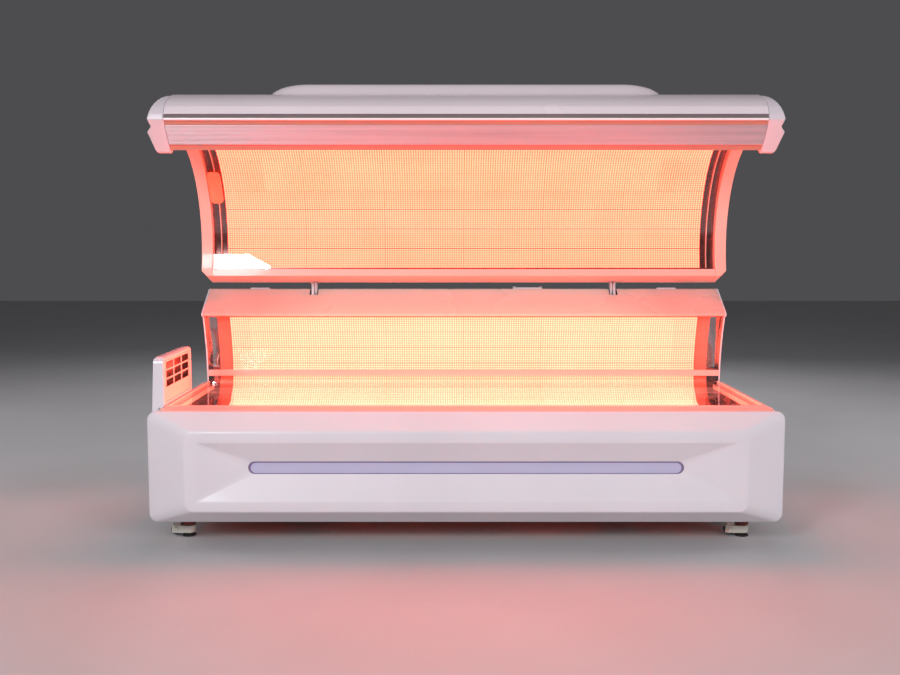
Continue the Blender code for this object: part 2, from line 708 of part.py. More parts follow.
shaped_by(
    rear_panel,
    [
        box(
            MODULE[0] - 0.0005,
            MODULE[1] + 0.0005,
            COVER_FRONT - 0.01,
            DEPTH + 0.01,
            INLET[1] - 0.0235,
            INLET[1] + 0.0235,
        )
    ],
    "DIFFERENCE",
)
inlet = piece(
    "mains_inlet",
    box(*MODULE, COVER_FRONT - 0.039, DEPTH - 0.001, INLET[1] - 0.023, INLET[1] + 0.023),
    BLACK,
)
shaped_by(
    inlet,
    [
        box(
            MODULE[0] - 0.008,
            MODULE[1] + 0.008,
            COVER_FRONT - 0.006,
            COVER_FRONT - GAP,
            INLET[1] - 0.030,
            INLET[1] + 0.030,
        )
    ],
    "UNION",
)
shaped_by(
    inlet,
    [
        box(INLET[0] - 0.014, INLET[0] + 0.014, *WELL, INLET[1] - 0.010, INLET[1] + 0.010),
        box(SWITCH[0] - 0.0105, SWITCH[0] + 0.0105, *WELL, SWITCH[1] - 0.0155, SWITCH[1] + 0.0155),
    ],
    "DIFFERENCE",
)
ROCKER_Y = DEPTH - 0.0095
rocker = [(ROCKER_Y - 0.006, SWITCH[1] - 0.007), (ROCKER_Y + 0.0005, SWITCH[1] - 0.0142)]
rocker += [(ROCKER_Y + 0.0070, SWITCH[1] - 0.0132), (ROCKER_Y + 0.0035, SWITCH[1])]
rocker += [(ROCKER_Y + 0.0070, SWITCH[1] + 0.0132), (ROCKER_Y + 0.0005, SWITCH[1] + 0.0142)]
rocker += [(ROCKER_Y - 0.006, SWITCH[1] + 0.007)]
TILT = math.radians(8.0)
rocker = [
    (
        ROCKER_Y + (y - ROCKER_Y) * math.cos(TILT) - (z - SWITCH[1]) * math.sin(TILT),
        SWITCH[1] + (y - ROCKER_Y) * math.sin(TILT) + (z - SWITCH[1]) * math.cos(TILT),
    )
    for y, z in rocker
]
piece(
    "power_switch",
    prism(rocker, SWITCH[0] - 0.0098, SWITCH[0] + 0.0098, "x"),
    BLACK,
    (SWITCH[0], ROCKER_Y, SWITCH[1]),
)

# Power supply and control box on the floor ladder
FLOOR = FRAME_TOP + GAP
SUPPLY = (0.420, 0.120, 0.104)
CONTROL = (0.280, 0.140, 0.084)
BOX_MID = (POST_FRONT + POST_BACK) / 2
piece(
    "power_supply",
    box(-0.080 - SUPPLY[0], -0.080, BOX_MID - SUPPLY[1] / 2, BOX_MID + SUPPLY[1] / 2, FLOOR, FLOOR + SUPPLY[2]),
    STEEL,
)
piece(
    "control_box",
    box(0.100, 0.100 + CONTROL[0], BOX_MID - CONTROL[1] / 2, BOX_MID + CONTROL[1] / 2, FLOOR, FLOOR + CONTROL[2]),
    BLACK,
)


def fan_blades(centre, blades):
    """The front view of a fan wheel: a hub with raked blades."""
    outline = []
    for k in range(blades):
        turn = 360.0 / blades * k
        for radius, angle in ((HUB_R, 0.0), (BLADE_R, 14.0), (BLADE_R, 34.0), (HUB_R, 26.0)):
            t = math.radians(turn + angle)
            outline.append((centre[0] + radius * math.cos(t), centre[1] + radius * math.sin(t)))
    return outline


# Rear exhaust fan, against the cover's middle vents
FAN_BACK = COVER_FRONT - GAP
rear_fan_frame = piece(
    "rear_fan_frame",
    box(
        REAR_FAN_X - FAN_SIDE / 2,
        REAR_FAN_X + FAN_SIDE / 2,
        FAN_BACK - FAN_DEEP,
        FAN_BACK,
        REAR_FAN_Z - FAN_SIDE / 2,
        REAR_FAN_Z + FAN_SIDE / 2,
    ),
    BLACK,
)
shaped_by(
    rear_fan_frame,
    [prism(disc((REAR_FAN_X, REAR_FAN_Z), FAN_BORE, 32), FAN_BACK - 0.05, FAN_BACK + 0.02, "y")],
    "DIFFERENCE",
)
SPOKE = (REAR_FAN_X - 0.059, REAR_FAN_X + 0.059, FAN_BACK - 0.004, FAN_BACK - 0.0005)
shaped_by(rear_fan_frame, [box(*SPOKE, REAR_FAN_Z - 0.003, REAR_FAN_Z + 0.003)], "UNION")
shaped_by(
    rear_fan_frame,
    [prism(disc((REAR_FAN_X, REAR_FAN_Z), 0.018), FAN_BACK - HUB_SEAT, FAN_BACK - 0.0002, "y")],
    "UNION",
)
piece(
    "rear_fan_rotor",
    prism(fan_blades((REAR_FAN_X, REAR_FAN_Z), 7), FAN_BACK - 0.022, FAN_BACK - HUB_SEAT - GAP, "y"),
    BLACK,
    (REAR_FAN_X, FAN_BACK - 0.015, REAR_FAN_Z),
)

# Side vent: housing, grille and the long rotor inside
VENT_SEAT = RIM_HALF + 0.0012
vent = [(-VENT_INNER, RIM_TOP + GAP), (-VENT_SEAT, RIM_TOP + GAP), (-VENT_SEAT, RIM_TOP - 0.003)]
vent += [(-VENT_OUTER, RIM_TOP - 0.0325), (-VENT_OUTER, RIM_TOP - 0.017)]
vent += [(0.008 - VENT_OUTER, VENT_TOP - 0.008), (0.014 - VENT_OUTER, VENT_TOP)]
vent += [(-VENT_INNER - 0.006, VENT_TOP), (-VENT_INNER, VENT_TOP - 0.006)]
vent_housing = piece("vent_housing", prism(vent, VENT_FRONT, VENT_BACK, "y"), WHITE)
round_top = arc((VENT_FRONT + 0.024, VENT_TOP - 0.024), 0.024, 180.0, 90.0, 6)
round_top += arc((VENT_BACK - 0.024, VENT_TOP - 0.024), 0.024, 90.0, 0.0, 6)
round_top += [(VENT_BACK, RIM_TOP - 0.087), (VENT_FRONT, RIM_TOP - 0.087)]
shaped_by(vent_housing, [prism(round_top, -VENT_OUTER - 0.1, 0.05 - VENT_INNER, "x")], "INTERSECT")
CAVITY = (VENT_FRONT + 0.030, VENT_BACK - 0.030)
CAVITY_LOW = RIM_TOP + 0.018
CAVITY_HIGH = VENT_TOP - 0.020
GRILLE = 0.0037
GRILLE_LAP = 0.006
shaped_by(
    vent_housing,
    [box(0.012 - VENT_OUTER, 0.006 - VENT_INNER, *CAVITY, CAVITY_LOW, CAVITY_HIGH)],
    "DIFFERENCE",
)
shaped_by(
    vent_housing,
    [
        box(
            -VENT_INNER - GRILLE - GAP,
            0.006 - VENT_INNER,
            CAVITY[0] - GRILLE_LAP,
            CAVITY[1] + GRILLE_LAP,
            CAVITY_LOW - GRILLE_LAP,
            CAVITY_HIGH + GRILLE_LAP,
        )
    ],
    "DIFFERENCE",
)
grille = piece(
    "vent_grille",
    box(
        -VENT_INNER - GRILLE,
        -VENT_INNER,
        CAVITY[0] - GRILLE_LAP + GAP,
        CAVITY[1] + GRILLE_LAP - GAP,
        CAVITY_LOW - GRILLE_LAP + GAP,
        CAVITY_HIGH + GRILLE_LAP - GAP,
    ),
    WHITE,
)
VENT_MID = (VENT_FRONT + VENT_BACK) / 2
VENT_STEP = (CAVITY[1] - CAVITY[0] - 0.008) / 3
VENT_HOLE = (VENT_STEP - 0.009, 0.025)
vent_holes = [
    box(
        -VENT_INNER - 0.014,
        0.016 - VENT_INNER,
        VENT_MID + VENT_STEP * i - VENT_HOLE[0] / 2,
        VENT_MID + VENT_STEP * i + VENT_HOLE[0] / 2,
        z - VENT_HOLE[1] / 2,
        z + VENT_HOLE[1] / 2,
    )
    for i in (-1, 0, 1)
    for z in [CAVITY_HIGH - 0.014 - 0.031 * row for row in range(3)]
]
shaped_by(grille, vent_holes, "DIFFERENCE")
vanes = []
for k in range(12):
    for radius, angle in ((ROTOR_R - 0.003, 0.0), (ROTOR_R, 8.0), (ROTOR_R, 15.0), (ROTOR_R - 0.003, 15.0)):
        t = math.radians(30.0 * k + angle)
        vanes.append((-ROTOR_X + radius * math.cos(t), ROTOR_Z + radius * math.sin(t)))
vent_rotor = piece(
    "vent_rotor",
    prism(vanes, CAVITY[0] + 0.006, CAVITY[1] - 0.006, "y"),
    BLACK,
    (-ROTOR_X, VENT_MID, ROTOR_Z),
)
shaped_by(
    vent_rotor,
    [prism(disc((-ROTOR_X, ROTOR_Z), 0.003, 12), CAVITY[0] + 0.0005, CAVITY[1] - 0.0005, "y")],
    "UNION",
)

# Canopy hinge: base brackets with their pins, canopy arms with their cranks
HINGE_AT = (0.0, *HINGE)
foot = (HINGE[0] - CRANK * math.sin(CRANK_LEAN), HINGE[1] - CRANK * math.cos(CRANK_LEAN))
BRACKET = [(POST_FRONT + 0.003, POST_TOP - 0.175), (POST_BACK - 0.003, POST_TOP - 0.175)]
BRACKET += [(POST_BACK - 0.003, POST_TOP + 0.005), (HINGE[0] + 0.017, HINGE[1] - 0.055)]
BRACKET += arc(HINGE, PIN_R + 0.007, -20.0, 200.0, 12)
BRACKET += [(HINGE[0] - 0.015, HINGE[1] - 0.045), (POST_FRONT + 0.003, POST_TOP)]
up = (math.sin(CRANK_LEAN), math.cos(CRANK_LEAN))
neck_at = (HINGE[0] - 0.026 * up[0], HINGE[1] - 0.026 * up[1])
spread = math.degrees(math.asin(CRANK_HALF / FOOT_R))
upright = 90.0 - math.degrees(CRANK_LEAN)
ARM = arc(foot, FOOT_R, upright + spread, upright - spread + 360.0, 20)
ARM += [(neck_at[0] + CRANK_HALF * up[1], neck_at[1] - CRANK_HALF * up[0])]
ARM += [(HINGE[0] + 0.020, HINGE[1] - 0.005), (HINGE[0] + 0.022, HINGE[1] + 0.035)]
ARM += [round_tunnel(0.12672, 5.8415), round_tunnel(0.10084, 12.0105)]
ARM += arc(TUNNEL, TRAY_R + TRAY + 0.0005, 14.0, -8.0, 6)
ARM += [(HINGE[0] - 0.020, HINGE[1] + 0.013), (HINGE[0] - 0.019, HINGE[1] - 0.006)]
ARM += [(neck_at[0] - CRANK_HALF * up[1], neck_at[1] + CRANK_HALF * up[0])]
for hand, way in (("left", -1.0), ("right", 1.0)):
    turn = mirrored if way < 0 else (lambda shape: shape)
    inner = HINGE_X - PLATE / 2
    bracket = piece(
        "hinge_bracket_" + hand, turn(prism(BRACKET, inner, inner + PLATE, "x")), STEEL, HINGE_AT
    )
    arm_in = inner + PLATE + 0.002
    pin = prism(disc(HINGE, PIN_R), inner + 0.002, arm_in + PLATE + 0.004, "x")
    head = prism(disc(HINGE, 0.015), arm_in + PLATE + 0.0008, arm_in + PLATE + 0.005, "x")
    shaped_by(bracket, [turn(pin)], "UNION")
    shaped_by(bracket, [turn(head)], "UNION")
    arm = piece("canopy_arm_" + hand, turn(prism(ARM, arm_in, arm_in + PLATE, "x")), STEEL, HINGE_AT)
    eye = prism(disc(HINGE, PIN_R + PIN_FIT), arm_in - 0.01, arm_in + PLATE + 0.01, "x")
    shaped_by(arm, [turn(eye)], "DIFFERENCE")
    middle = arm_in + PLATE / 2
    pad_at = foot[0] + FOOT_R + PAD_GAP
    rod = piece(
        "gas_rod_" + hand,
        turn(box(middle - 0.0055, middle + 0.013, pad_at, pad_at + 0.008, SPRING_Z - 0.019, SPRING_Z + 0.027)),
        STEEL,
        (0.0, pad_at, SPRING_Z),
    )
    stem_end = CYLINDER_FRONT + 0.012
    stem = prism(disc((way * middle, SPRING_Z), 0.005), pad_at + 0.004, stem_end, "y")
    shaped_by(rod, [stem], "UNION")
    cylinder = piece(
        "gas_cylinder_" + hand,
        prism(disc((way * middle, SPRING_Z), 0.014), CYLINDER_FRONT, BEAM_FRONT - GAP, "y"),
        BLACK,
    )
    hollow = prism(disc((way * middle, SPRING_Z), 0.0058), CYLINDER_FRONT - 0.02, BEAM_FRONT - 0.006, "y")
    shaped_by(cylinder, [hollow], "DIFFERENCE")

# Canopy: lit tray, shield, rail and cheeks
def ring_strip(radius, thickness, start, end, count=30):
    return arc(TUNNEL, radius, start, end, count) + arc(TUNNEL, radius + thickness, end, start, count)


piece(
    "canopy_led_boards",
    prism(ring_strip(LED_R, BOARD + 0.0001, -13.5, 98.0), -LED_HALF, LED_HALF, "x"),
    LIT,
    HINGE_AT,
)
INSIDE = CHEEK_INNER - GAP
piece(
    "canopy_led_tray",
    prism(ring_strip(TRAY_R, TRAY, -16.8, 101.0), -INSIDE, INSIDE, "x"),
    ALUMINIUM,
    HINGE_AT,
)
piece(
    "canopy_shield",
    prism(ring_strip(SHIELD_R, 0.004, -16.2, 99.0), -INSIDE, INSIDE, "x"),
    CLEAR,
    HINGE_AT,
)
RAIL = [RAIL_FRONT, RAIL_BACK]
for out, turn_at in (
    (0.10582, -17.5753),
    (0.03990, -17.4302),
    (0.03254, -17.4160),
    (0.01603, -17.0228),
    (0.01279, -16.4999),
    (0.00506, -16.5304),
    (-0.00095, -15.0382),
    (-0.00338, -15.1374),
):
    RAIL.append(round_tunnel(out, turn_at))
canopy_rail = piece("canopy_bottom_rail", prism(RAIL, -INSIDE, INSIDE, "x"), ALUMINIUM, HINGE_AT)
NOTCH = (HINGE_X - PLATE / 2 - 0.004, HINGE_X + PLATE / 2 + 0.004)
NOTCH_AT = (HINGE[0] - 0.050, HINGE[0] - 0.010, HINGE[1] - 0.025, HINGE[1] + 0.015)
shaped_by(
    canopy_rail,
    [box(*NOTCH, *NOTCH_AT), box(-NOTCH[1], -NOTCH[0], *NOTCH_AT)],
    "DIFFERENCE",
)
BAR_BACK = (0.0160, 0.0132)
BAR = [LIP, LIP_LOW, (LIP_LOW[0] + BAR_BACK[0], LIP_LOW[1] + BAR_BACK[1])]
BAR += [(LIP[0] + BAR_BACK[0], LIP[1] + BAR_BACK[1])]
piece("visor_bar", prism(BAR, -CHEEK_OUTER + 0.0006, CHEEK_OUTER - 0.0006, "x"), ALUMINIUM, HINGE_AT)
ROOF = ((-0.1695, 0.1050), (-0.1670, 0.0860), (-0.1520, 0.0590), (-0.1180, 0.0310), (-0.0710, 0.0110))
roof_at = [(TUNNEL[0] + y, TUNNEL[1] + SHELL_R - down) for y, down in ROOF]
FRONT_CURVE = smooth(roof_at, 3)
TAIL = (TUNNEL[0] + SHELL_R, HINGE[1])
SHELL_LINE = FRONT_CURVE + arc(TUNNEL, SHELL_R, 94.0, 2.0, 26)
SHELL_LINE += [(TAIL[0] + 0.002, TAIL[1] + 0.075), (TAIL[0] - 0.001, TAIL[1] + 0.019)]
piece("canopy_shell", prism(strip(SHELL_LINE, -SHEET), -INSIDE, INSIDE, "x"), WHITE, HINGE_AT)
CHEEK = arc(TUNNEL, CHEEK_R, -19.2, 98.0, 30)
CHEEK += [(LIP_LOW[0] + 0.024, LIP_LOW[1] + 0.073), (LIP[0] + 0.0195, LIP[1] + 0.0165)]
CHEEK += [(x, z + 0.0015) for x, z in roof_at[1:]]
CHEEK += arc(TUNNEL, SHELL_R + 0.002, 94.0, 2.0, 26)
CHEEK += [(TAIL[0] + 0.004, TAIL[1] + 0.075), (TAIL[0] + 0.001, TAIL[1] + 0.017), RAIL_BACK]
cheek = prism(CHEEK, CHEEK_INNER, CHEEK_OUTER, "x")
piece("canopy_right_cheek", cheek, WHITE, HINGE_AT)
piece("canopy_left_cheek", mirrored(cheek), WHITE, HINGE_AT)

# Visor end caps: a nose with a groove along its side, fading out towards the back
CAP_LINES = []
for top, low, wide in (
    ((0.06949, 111.6774), (-0.06461, 104.5774), 0.046),
    ((0.09597, 109.8042), (-0.06685, 101.0984), 0.049),
    ((0.11481, 104.3364), (-0.04563, 92.6323), 0.045),
    ((0.12965, 92.8459), (0.01329, 81.6718), 0.030),
    ((0.13143, 77.4703), (0.07361, 73.3555), 0.006),
):
    CAP_LINES.append((round_tunnel(*top), round_tunnel(*low), wide))
CAP_SIDE = [(0.0, 0.0), (0.55, 0.0), (1.0, 0.14), (1.0, 0.22), (0.78, 0.40), (1.0, 0.56)]
CAP_SIDE += [(0.92, 0.70), (0.66, 1.0), (0.0, 1.0)]
cap_rings = []
for top, low, wide in CAP_LINES:
    cap_rings.append(
        [
            (
                CHEEK_OUTER + GAP + wide * out,
                top[0] + (low[0] - top[0]) * down,
                top[1] + (low[1] - top[1]) * down,
            )
            for out, down in CAP_SIDE
        ]
    )
cap_points, cap_faces = skin(cap_rings)
cap_count = len(CAP_SIDE)
cap_faces += [list(range(cap_count)), list(range(len(cap_points) - cap_count, len(cap_points)))]
piece("visor_right_cap", (cap_points, cap_faces), WHITE, HINGE_AT)
piece("visor_left_cap", mirrored((cap_points, cap_faces)), WHITE, HINGE_AT)

# Hood on the shell's crown
HOOD_SPAN = [-0.705, -0.690, -0.650, -0.600, -0.550, 0.550, 0.600, 0.650, 0.690, 0.705]
HOOD_RISE = [0.0, 0.22, 0.68, 0.94, 1.0, 1.0, 0.94, 0.68, 0.22, 0.0]
HOOD_TURN = [94.0, 92.0, 88.0, 83.0, 77.0, 70.0, 62.0, 54.0, 48.0, 43.0, 40.0]
HOOD_LIFT = [0.0, 0.28, 0.66, 0.92, 1.0, 1.0, 0.98, 0.82, 0.52, 0.18, 0.0]
HOOD_FOOT = SHELL_R + 0.0036
HOOD_WALL = 0.002
hood_points = []
for x, across in zip(HOOD_SPAN, HOOD_RISE):
    for turn_at, along in zip(HOOD_TURN, HOOD_LIFT):
        reach = HOOD_FOOT + (HOOD_R - HOOD_FOOT) * across * along
        t = math.radians(turn_at)
        hood_points.append((x, TUNNEL[0] + reach * math.cos(t), TUNNEL[1] + reach * math.sin(t)))
rows = len(HOOD_TURN)
hood_faces = [
    [i * rows + j, (i + 1) * rows + j, (i + 1) * rows + j + 1, i * rows + j + 1]
    for i in range(len(HOOD_SPAN) - 1)
    for j in range(rows - 1)
]
hood = piece("canopy_hood", (hood_points, hood_faces), WHITE, HINGE_AT)
thickened(hood, HOOD_WALL, -1.0)

# Touch panel on the shield's left end
PAD_INNER = 0.054 - CHEEK_INNER
piece(
    "control_pad",
    prism(ring_strip(SHIELD_R - 0.0085, 0.0085 - GAP, 23.6, 44.0, 8), 0.003 - CHEEK_INNER, PAD_INNER, "x"),
    CORAL,
    HINGE_AT,
)


# Canopy fan between tray and shell, blowing outwards
def set_radially(shape):
    """Turns a shape made flat round the tunnel's middle so that its height points outwards."""
    points, faces = shape
    c, s = math.cos(CANOPY_FAN_ANGLE), math.sin(CANOPY_FAN_ANGLE)
    moved = [
        (x, TUNNEL[0] + (CANOPY_FAN_R + z) * c - y * s, TUNNEL[1] + (CANOPY_FAN_R + z) * s + y * c)
        for x, y, z in points
    ]
    return moved, faces


canopy_fan_frame = piece(
    "canopy_fan_frame",
    set_radially(box(-FAN_SIDE / 2, FAN_SIDE / 2, -FAN_SIDE / 2, FAN_SIDE / 2, -FAN_DEEP / 2, FAN_DEEP / 2)),
    BLACK,
    HINGE_AT,
)
shaped_by(
    canopy_fan_frame,
    [set_radially(prism(disc((0.0, 0.0), FAN_BORE, 32), -0.04, 0.04, "z"))],
    "DIFFERENCE",
)
shaped_by(
    canopy_fan_frame,
    [set_radially(box(-0.059, 0.059, -0.003, 0.003, FAN_DEEP / 2 - 0.0045, FAN_DEEP / 2 - 0.0005))],
    "UNION",
)
shaped_by(
    canopy_fan_frame,
    [set_radially(prism(disc((0.0, 0.0), 0.018), FAN_DEEP / 2 - HUB_SEAT, FAN_DEEP / 2 - 0.0002, "z"))],
    "UNION",
)
FAN_FOOT = FAN_SIDE / 2 - 0.008
foot_low = math.sqrt((TRAY_R + TRAY) ** 2 - FAN_FOOT**2) + GAP - CANOPY_FAN_R
for front, back in ((FAN_FOOT, FAN_SIDE / 2 - 0.0005), (0.0005 - FAN_SIDE / 2, -FAN_FOOT)):
    leg = box(0.001 - FAN_SIDE / 2, FAN_SIDE / 2 - 0.001, front, back, foot_low, 0.003 - FAN_DEEP / 2)
    shaped_by(canopy_fan_frame, [set_radially(leg)], "UNION")
FAN_AT = (
    0.0,
    TUNNEL[0] + CANOPY_FAN_R * math.cos(CANOPY_FAN_ANGLE),
    TUNNEL[1] + CANOPY_FAN_R * math.sin(CANOPY_FAN_ANGLE),
)
piece(
    "canopy_fan_rotor",
    set_radially(
        prism(fan_blades((0.0, 0.0), 7), 0.003 - FAN_DEEP / 2, FAN_DEEP / 2 - HUB_SEAT - GAP, "z")
    ),
    BLACK,
    FAN_AT,
)
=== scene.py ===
"""The looks of a red light therapy bed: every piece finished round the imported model's frame."""

import math

import bpy
from mathutils import Matrix, Vector


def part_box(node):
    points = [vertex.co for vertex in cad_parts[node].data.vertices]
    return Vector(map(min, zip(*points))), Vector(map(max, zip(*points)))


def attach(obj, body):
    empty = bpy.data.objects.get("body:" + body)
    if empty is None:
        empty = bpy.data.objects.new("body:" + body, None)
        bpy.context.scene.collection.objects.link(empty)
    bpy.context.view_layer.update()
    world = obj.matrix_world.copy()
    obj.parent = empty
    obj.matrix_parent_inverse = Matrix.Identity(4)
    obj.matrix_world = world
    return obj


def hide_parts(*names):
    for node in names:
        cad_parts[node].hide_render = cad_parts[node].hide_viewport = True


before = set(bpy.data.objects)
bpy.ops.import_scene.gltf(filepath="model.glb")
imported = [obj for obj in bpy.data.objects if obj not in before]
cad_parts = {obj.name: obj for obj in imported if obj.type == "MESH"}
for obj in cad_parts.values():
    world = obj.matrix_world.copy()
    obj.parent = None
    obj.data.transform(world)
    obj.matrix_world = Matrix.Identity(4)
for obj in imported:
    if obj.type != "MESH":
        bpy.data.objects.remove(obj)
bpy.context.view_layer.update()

# Base frame: square steel tube, welded into a floor ladder with caster plates, a rear ladder and two hinge
# posts. It is powder coated grey, which leaves a fine grain and slightly rounded tube corners.
SAME_POINT = 0.00002
SAME_PLANE = math.radians(0.4)
SMOOTH_TURN = math.radians(35.0)


class Value:
    """A shader value that Python's operators work on: each operation adds one Math node."""

    def __init__(self, tree, socket):
        self.tree = tree
        self.socket = socket

    def worked(self, operation, other):
        """Adds a Math node for one operation with a number or another value."""
        node = self.tree.nodes.new("ShaderNodeMath")
        node.operation = operation
        for socket, value in zip(node.inputs, (self, other)):
            if isinstance(value, Value):
                self.tree.links.new(value.socket, socket)
            else:
                socket.default_value = value
        return Value(self.tree, node.outputs[0])

    def __add__(self, other):
        return self.worked("ADD", other)

    def __mul__(self, other):
        return self.worked("MULTIPLY", other)


class Finish:
    """One material: its shader's sockets are fed by name, and other nodes are added one at a time."""

    def __init__(self, name, sockets):
        self.material = bpy.data.materials.new(name)
        self.material.use_nodes = True
        self.tree = self.material.node_tree
        self.shader = self.tree.nodes["Principled BSDF"]
        self.feed(sockets)

    def feed(self, sockets, node=None):
        """Sets a node's sockets by name or number, with plain values or other nodes' outputs."""
        node = node or self.shader
        for socket, value in sockets.items():
            if isinstance(value, Value):
                self.tree.links.new(value.socket, node.inputs[socket])
            else:
                node.inputs[socket].default_value = value

    def node(self, kind, sockets, output=0):
        """Adds a node, feeds its sockets and hands on one of its outputs."""
        made = self.tree.nodes.new("ShaderNode" + kind)
        self.feed(sockets, made)
        return Value(self.tree, made.outputs[output])

    def noise(self, scale, detail=3.0, stretch=(1.0, 1.0, 1.0)):
        """Noise fixed to the object, with each axis scaled by its own factor."""
        place = self.node("TexCoord", {}, "Object")
        drawn_out = self.node("Mapping", {"Vector": place, "Scale": stretch})
        return self.node("TexNoise", {"Vector": drawn_out, "Scale": scale, "Detail": detail})

    def mottled(self, amount, dark, light):
        """A colour that drifts between two tones with a value."""
        ramp = self.tree.nodes.new("ShaderNodeValToRGB")
        for stop, place, tone in zip(ramp.color_ramp.elements, (0.3, 0.7), (dark, light)):
            stop.position = place
            stop.color = (*tone, 1.0)
        self.feed({"Fac": amount}, ramp)
        return Value(self.tree, ramp.outputs[0])

    def bumped(self, height, strength, distance=0.001):
        """A surface normal that follows a height."""
        return self.node("Bump", {"Strength": strength, "Distance": distance, "Height": height})


def alone(piece):
    """Selects one object and nothing else."""
    bpy.ops.object.select_all(action="DESELECT")
    piece.select_set(True)
    bpy.context.view_layer.objects.active = piece


def edit_all(piece):
    """Opens one object for editing with its whole mesh selected."""
    alone(piece)
    bpy.ops.object.mode_set(mode="EDIT")
    bpy.ops.mesh.select_mode(type="VERT")
    bpy.ops.mesh.select_all(action="SELECT")


def edit_done():
    """Goes back from editing a mesh to whole objects."""
    bpy.ops.object.mode_set(mode="OBJECT")


def linked(name, data):
    """A new object in the scene for a mesh, a light or a camera."""
    made = bpy.data.objects.new(name, data)
    bpy.context.scene.collection.objects.link(made)
    return made


def applied(piece, kind, settings):
    """Adds a modifier with its settings to a piece and applies it."""
    alone(piece)
    modifier = piece.modifiers.new(kind.lower(), kind)
    for setting, value in settings.items():
        setattr(modifier, setting, value)
    bpy.ops.object.modifier_apply(modifier=modifier.name)


def merged_copy(name, node):
    """A copy of a CAD node's mesh, its loose triangles merged and its flat faces joined."""
    piece = linked(name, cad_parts[node].data.copy())
    piece.data.materials.clear()
    alone(piece)
    bpy.ops.mesh.customdata_custom_splitnormals_clear()
    edit_all(piece)
    bpy.ops.mesh.remove_doubles(threshold=SAME_POINT)
    bpy.ops.mesh.dissolve_limited(angle_limit=SAME_PLANE)
    edit_done()
    return piece


def rounded(piece, width, segments=3, over=28.0):
    """Rounds the edges that turn by more than an angle and shades them, with the flat faces kept flat."""
    turn = math.radians(over)
    applied(
        piece, "BEVEL", {"width": width, "segments": segments, "limit_method": "ANGLE", "angle_limit": turn}
    )
    bpy.ops.object.shade_smooth_by_angle(angle=SMOOTH_TURN)
    applied(piece, "WEIGHTED_NORMAL", {"mode": "FACE_AREA", "keep_sharp": True})


def fitted(piece, finish, slot, body, *nodes):
    """Gives a piece its finish and its body, and hides the nodes it stands for. The slot is not used."""
    if finish:
        piece.data.materials.append(finish.material)
    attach(piece, body)
    if nodes:
        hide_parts(*nodes)


def refitted(name, node, edge, finish, slot, body):
    """A node's own shape with its edges rounded and a finish put on, in the node's place."""
    piece = merged_copy(name, node)
    rounded(piece, *edge)
    fitted(piece, finish, slot, body, node)
    return piece


def grained(name, sockets, drift, tones, grain, gloss, strength):
    """A finish whose tone drifts with one noise, and whose gloss and relief follow a finer one."""
    finish = Finish(name, sockets)
    fine = finish.noise(*grain)
    finish.feed(
        {
            "Base Color": finish.mottled(finish.noise(drift), *tones),
            "Roughness": fine * gloss[1] + gloss[0],
            "Normal": finish.bumped(fine, strength),
        }
    )
    return finish


grey_tones = ((0.30, 0.30, 0.32), (0.36, 0.36, 0.38))
powder_grey = grained(
    "powder_coated_grey", {"Coat Weight": 0.1}, 6.0, grey_tones, (900.0, 2.0), (0.42, 0.15), 0.12
)
refitted("frame_tubes", "base_frame", (0.0025,), powder_grey, "frame_steel", "base")

# Levelling casters: an ivory nylon body carries a small grey wheel on a capped axle. A rubber pad on a zinc
# screw is turned down beside it by a ribbed red thumbwheel, which lifts the wheel off the floor.
PLACES = ("front_left", "front_right", "rear_left", "rear_right")
PAD_RADIUS = 0.0245
SPINDLE_RADIUS = 0.008
PAD_TOP = 0.0095
DIAL_LOW = 0.0438
DIAL_HIGH = 0.0594
DIAL_RIBS = 30
DIAL_DIP = 0.93
THREAD_PITCH = 0.002
THREAD_DEEP = 0.0008
BODY_LOW = 0.0140
BODY_TOP = 0.0490
BODY_DROP = 0.0088
BODY_TAPER = 0.0040
BODY_INSIDE = 0.0245
AXLE_AT = (0.0430, 0.0205, 0.0240)
AXLE_CAP = 0.0098
CAP_LINE = ((0.0, 0.0030), (0.45, 0.0030), (0.5, 0.0020), (0.62, 0.0020))
CAP_LINE += ((0.68, 0.0038), (0.9, 0.0032), (1.0, 0.0014), (1.0, -0.001))


def begun(name, add, scale=(1.0, 1.0, 1.0), **how):
    """A new primitive with its place, turn and scale in its mesh, to be shaped further."""
    bpy.ops.object.select_all(action="DESELECT")
    add(**how)
    piece = bpy.context.object
    piece.name = name
    piece.scale = scale
    bpy.ops.object.transform_apply(location=True, rotation=True, scale=True)
    return piece


def drawn(name, corners):
    """A line of edges through corners, made by extruding one point from each to the next."""
    bpy.ops.object.select_all(action="DESELECT")
    bpy.ops.mesh.primitive_plane_add(size=0.001, location=corners[0])
    piece = bpy.context.object
    piece.name = name
    edit_all(piece)
    bpy.ops.mesh.merge(type="CENTER")
    for start, end in zip(corners, corners[1:]):
        step = Vector(end) - Vector(start)
        bpy.ops.mesh.extrude_region_move(TRANSFORM_OT_translate={"value": step})
    edit_done()
    bpy.ops.object.transform_apply(location=True, rotation=False, scale=False)
    return piece


def spun(piece, steps, angle, center, axis):
    """Spins a piece's line or face round an axis, closes the seam and shades it."""
    edit_all(piece)
    bpy.ops.mesh.spin(steps=steps, angle=angle, center=center, axis=axis)
    bpy.ops.mesh.select_all(action="SELECT")
    bpy.ops.mesh.remove_doubles(threshold=SAME_POINT)
    bpy.ops.mesh.normals_make_consistent(inside=False)
    edit_done()
    bpy.ops.object.shade_smooth_by_angle(angle=SMOOTH_TURN)


def turned(name, corners, axis_at, axis, steps=40):
    """A line spun once round an axis, as on a lathe."""
    piece = drawn(name, corners)
    spun(piece, steps, math.tau, axis_at, axis)
    return piece


def joined(name, pieces):
    """Joins objects into one, which keeps each one's own finishes."""
    alone(pieces[0])
    for piece in pieces:
        piece.select_set(True)
    bpy.ops.object.join()
    pieces[0].name = name
    return pieces[0]


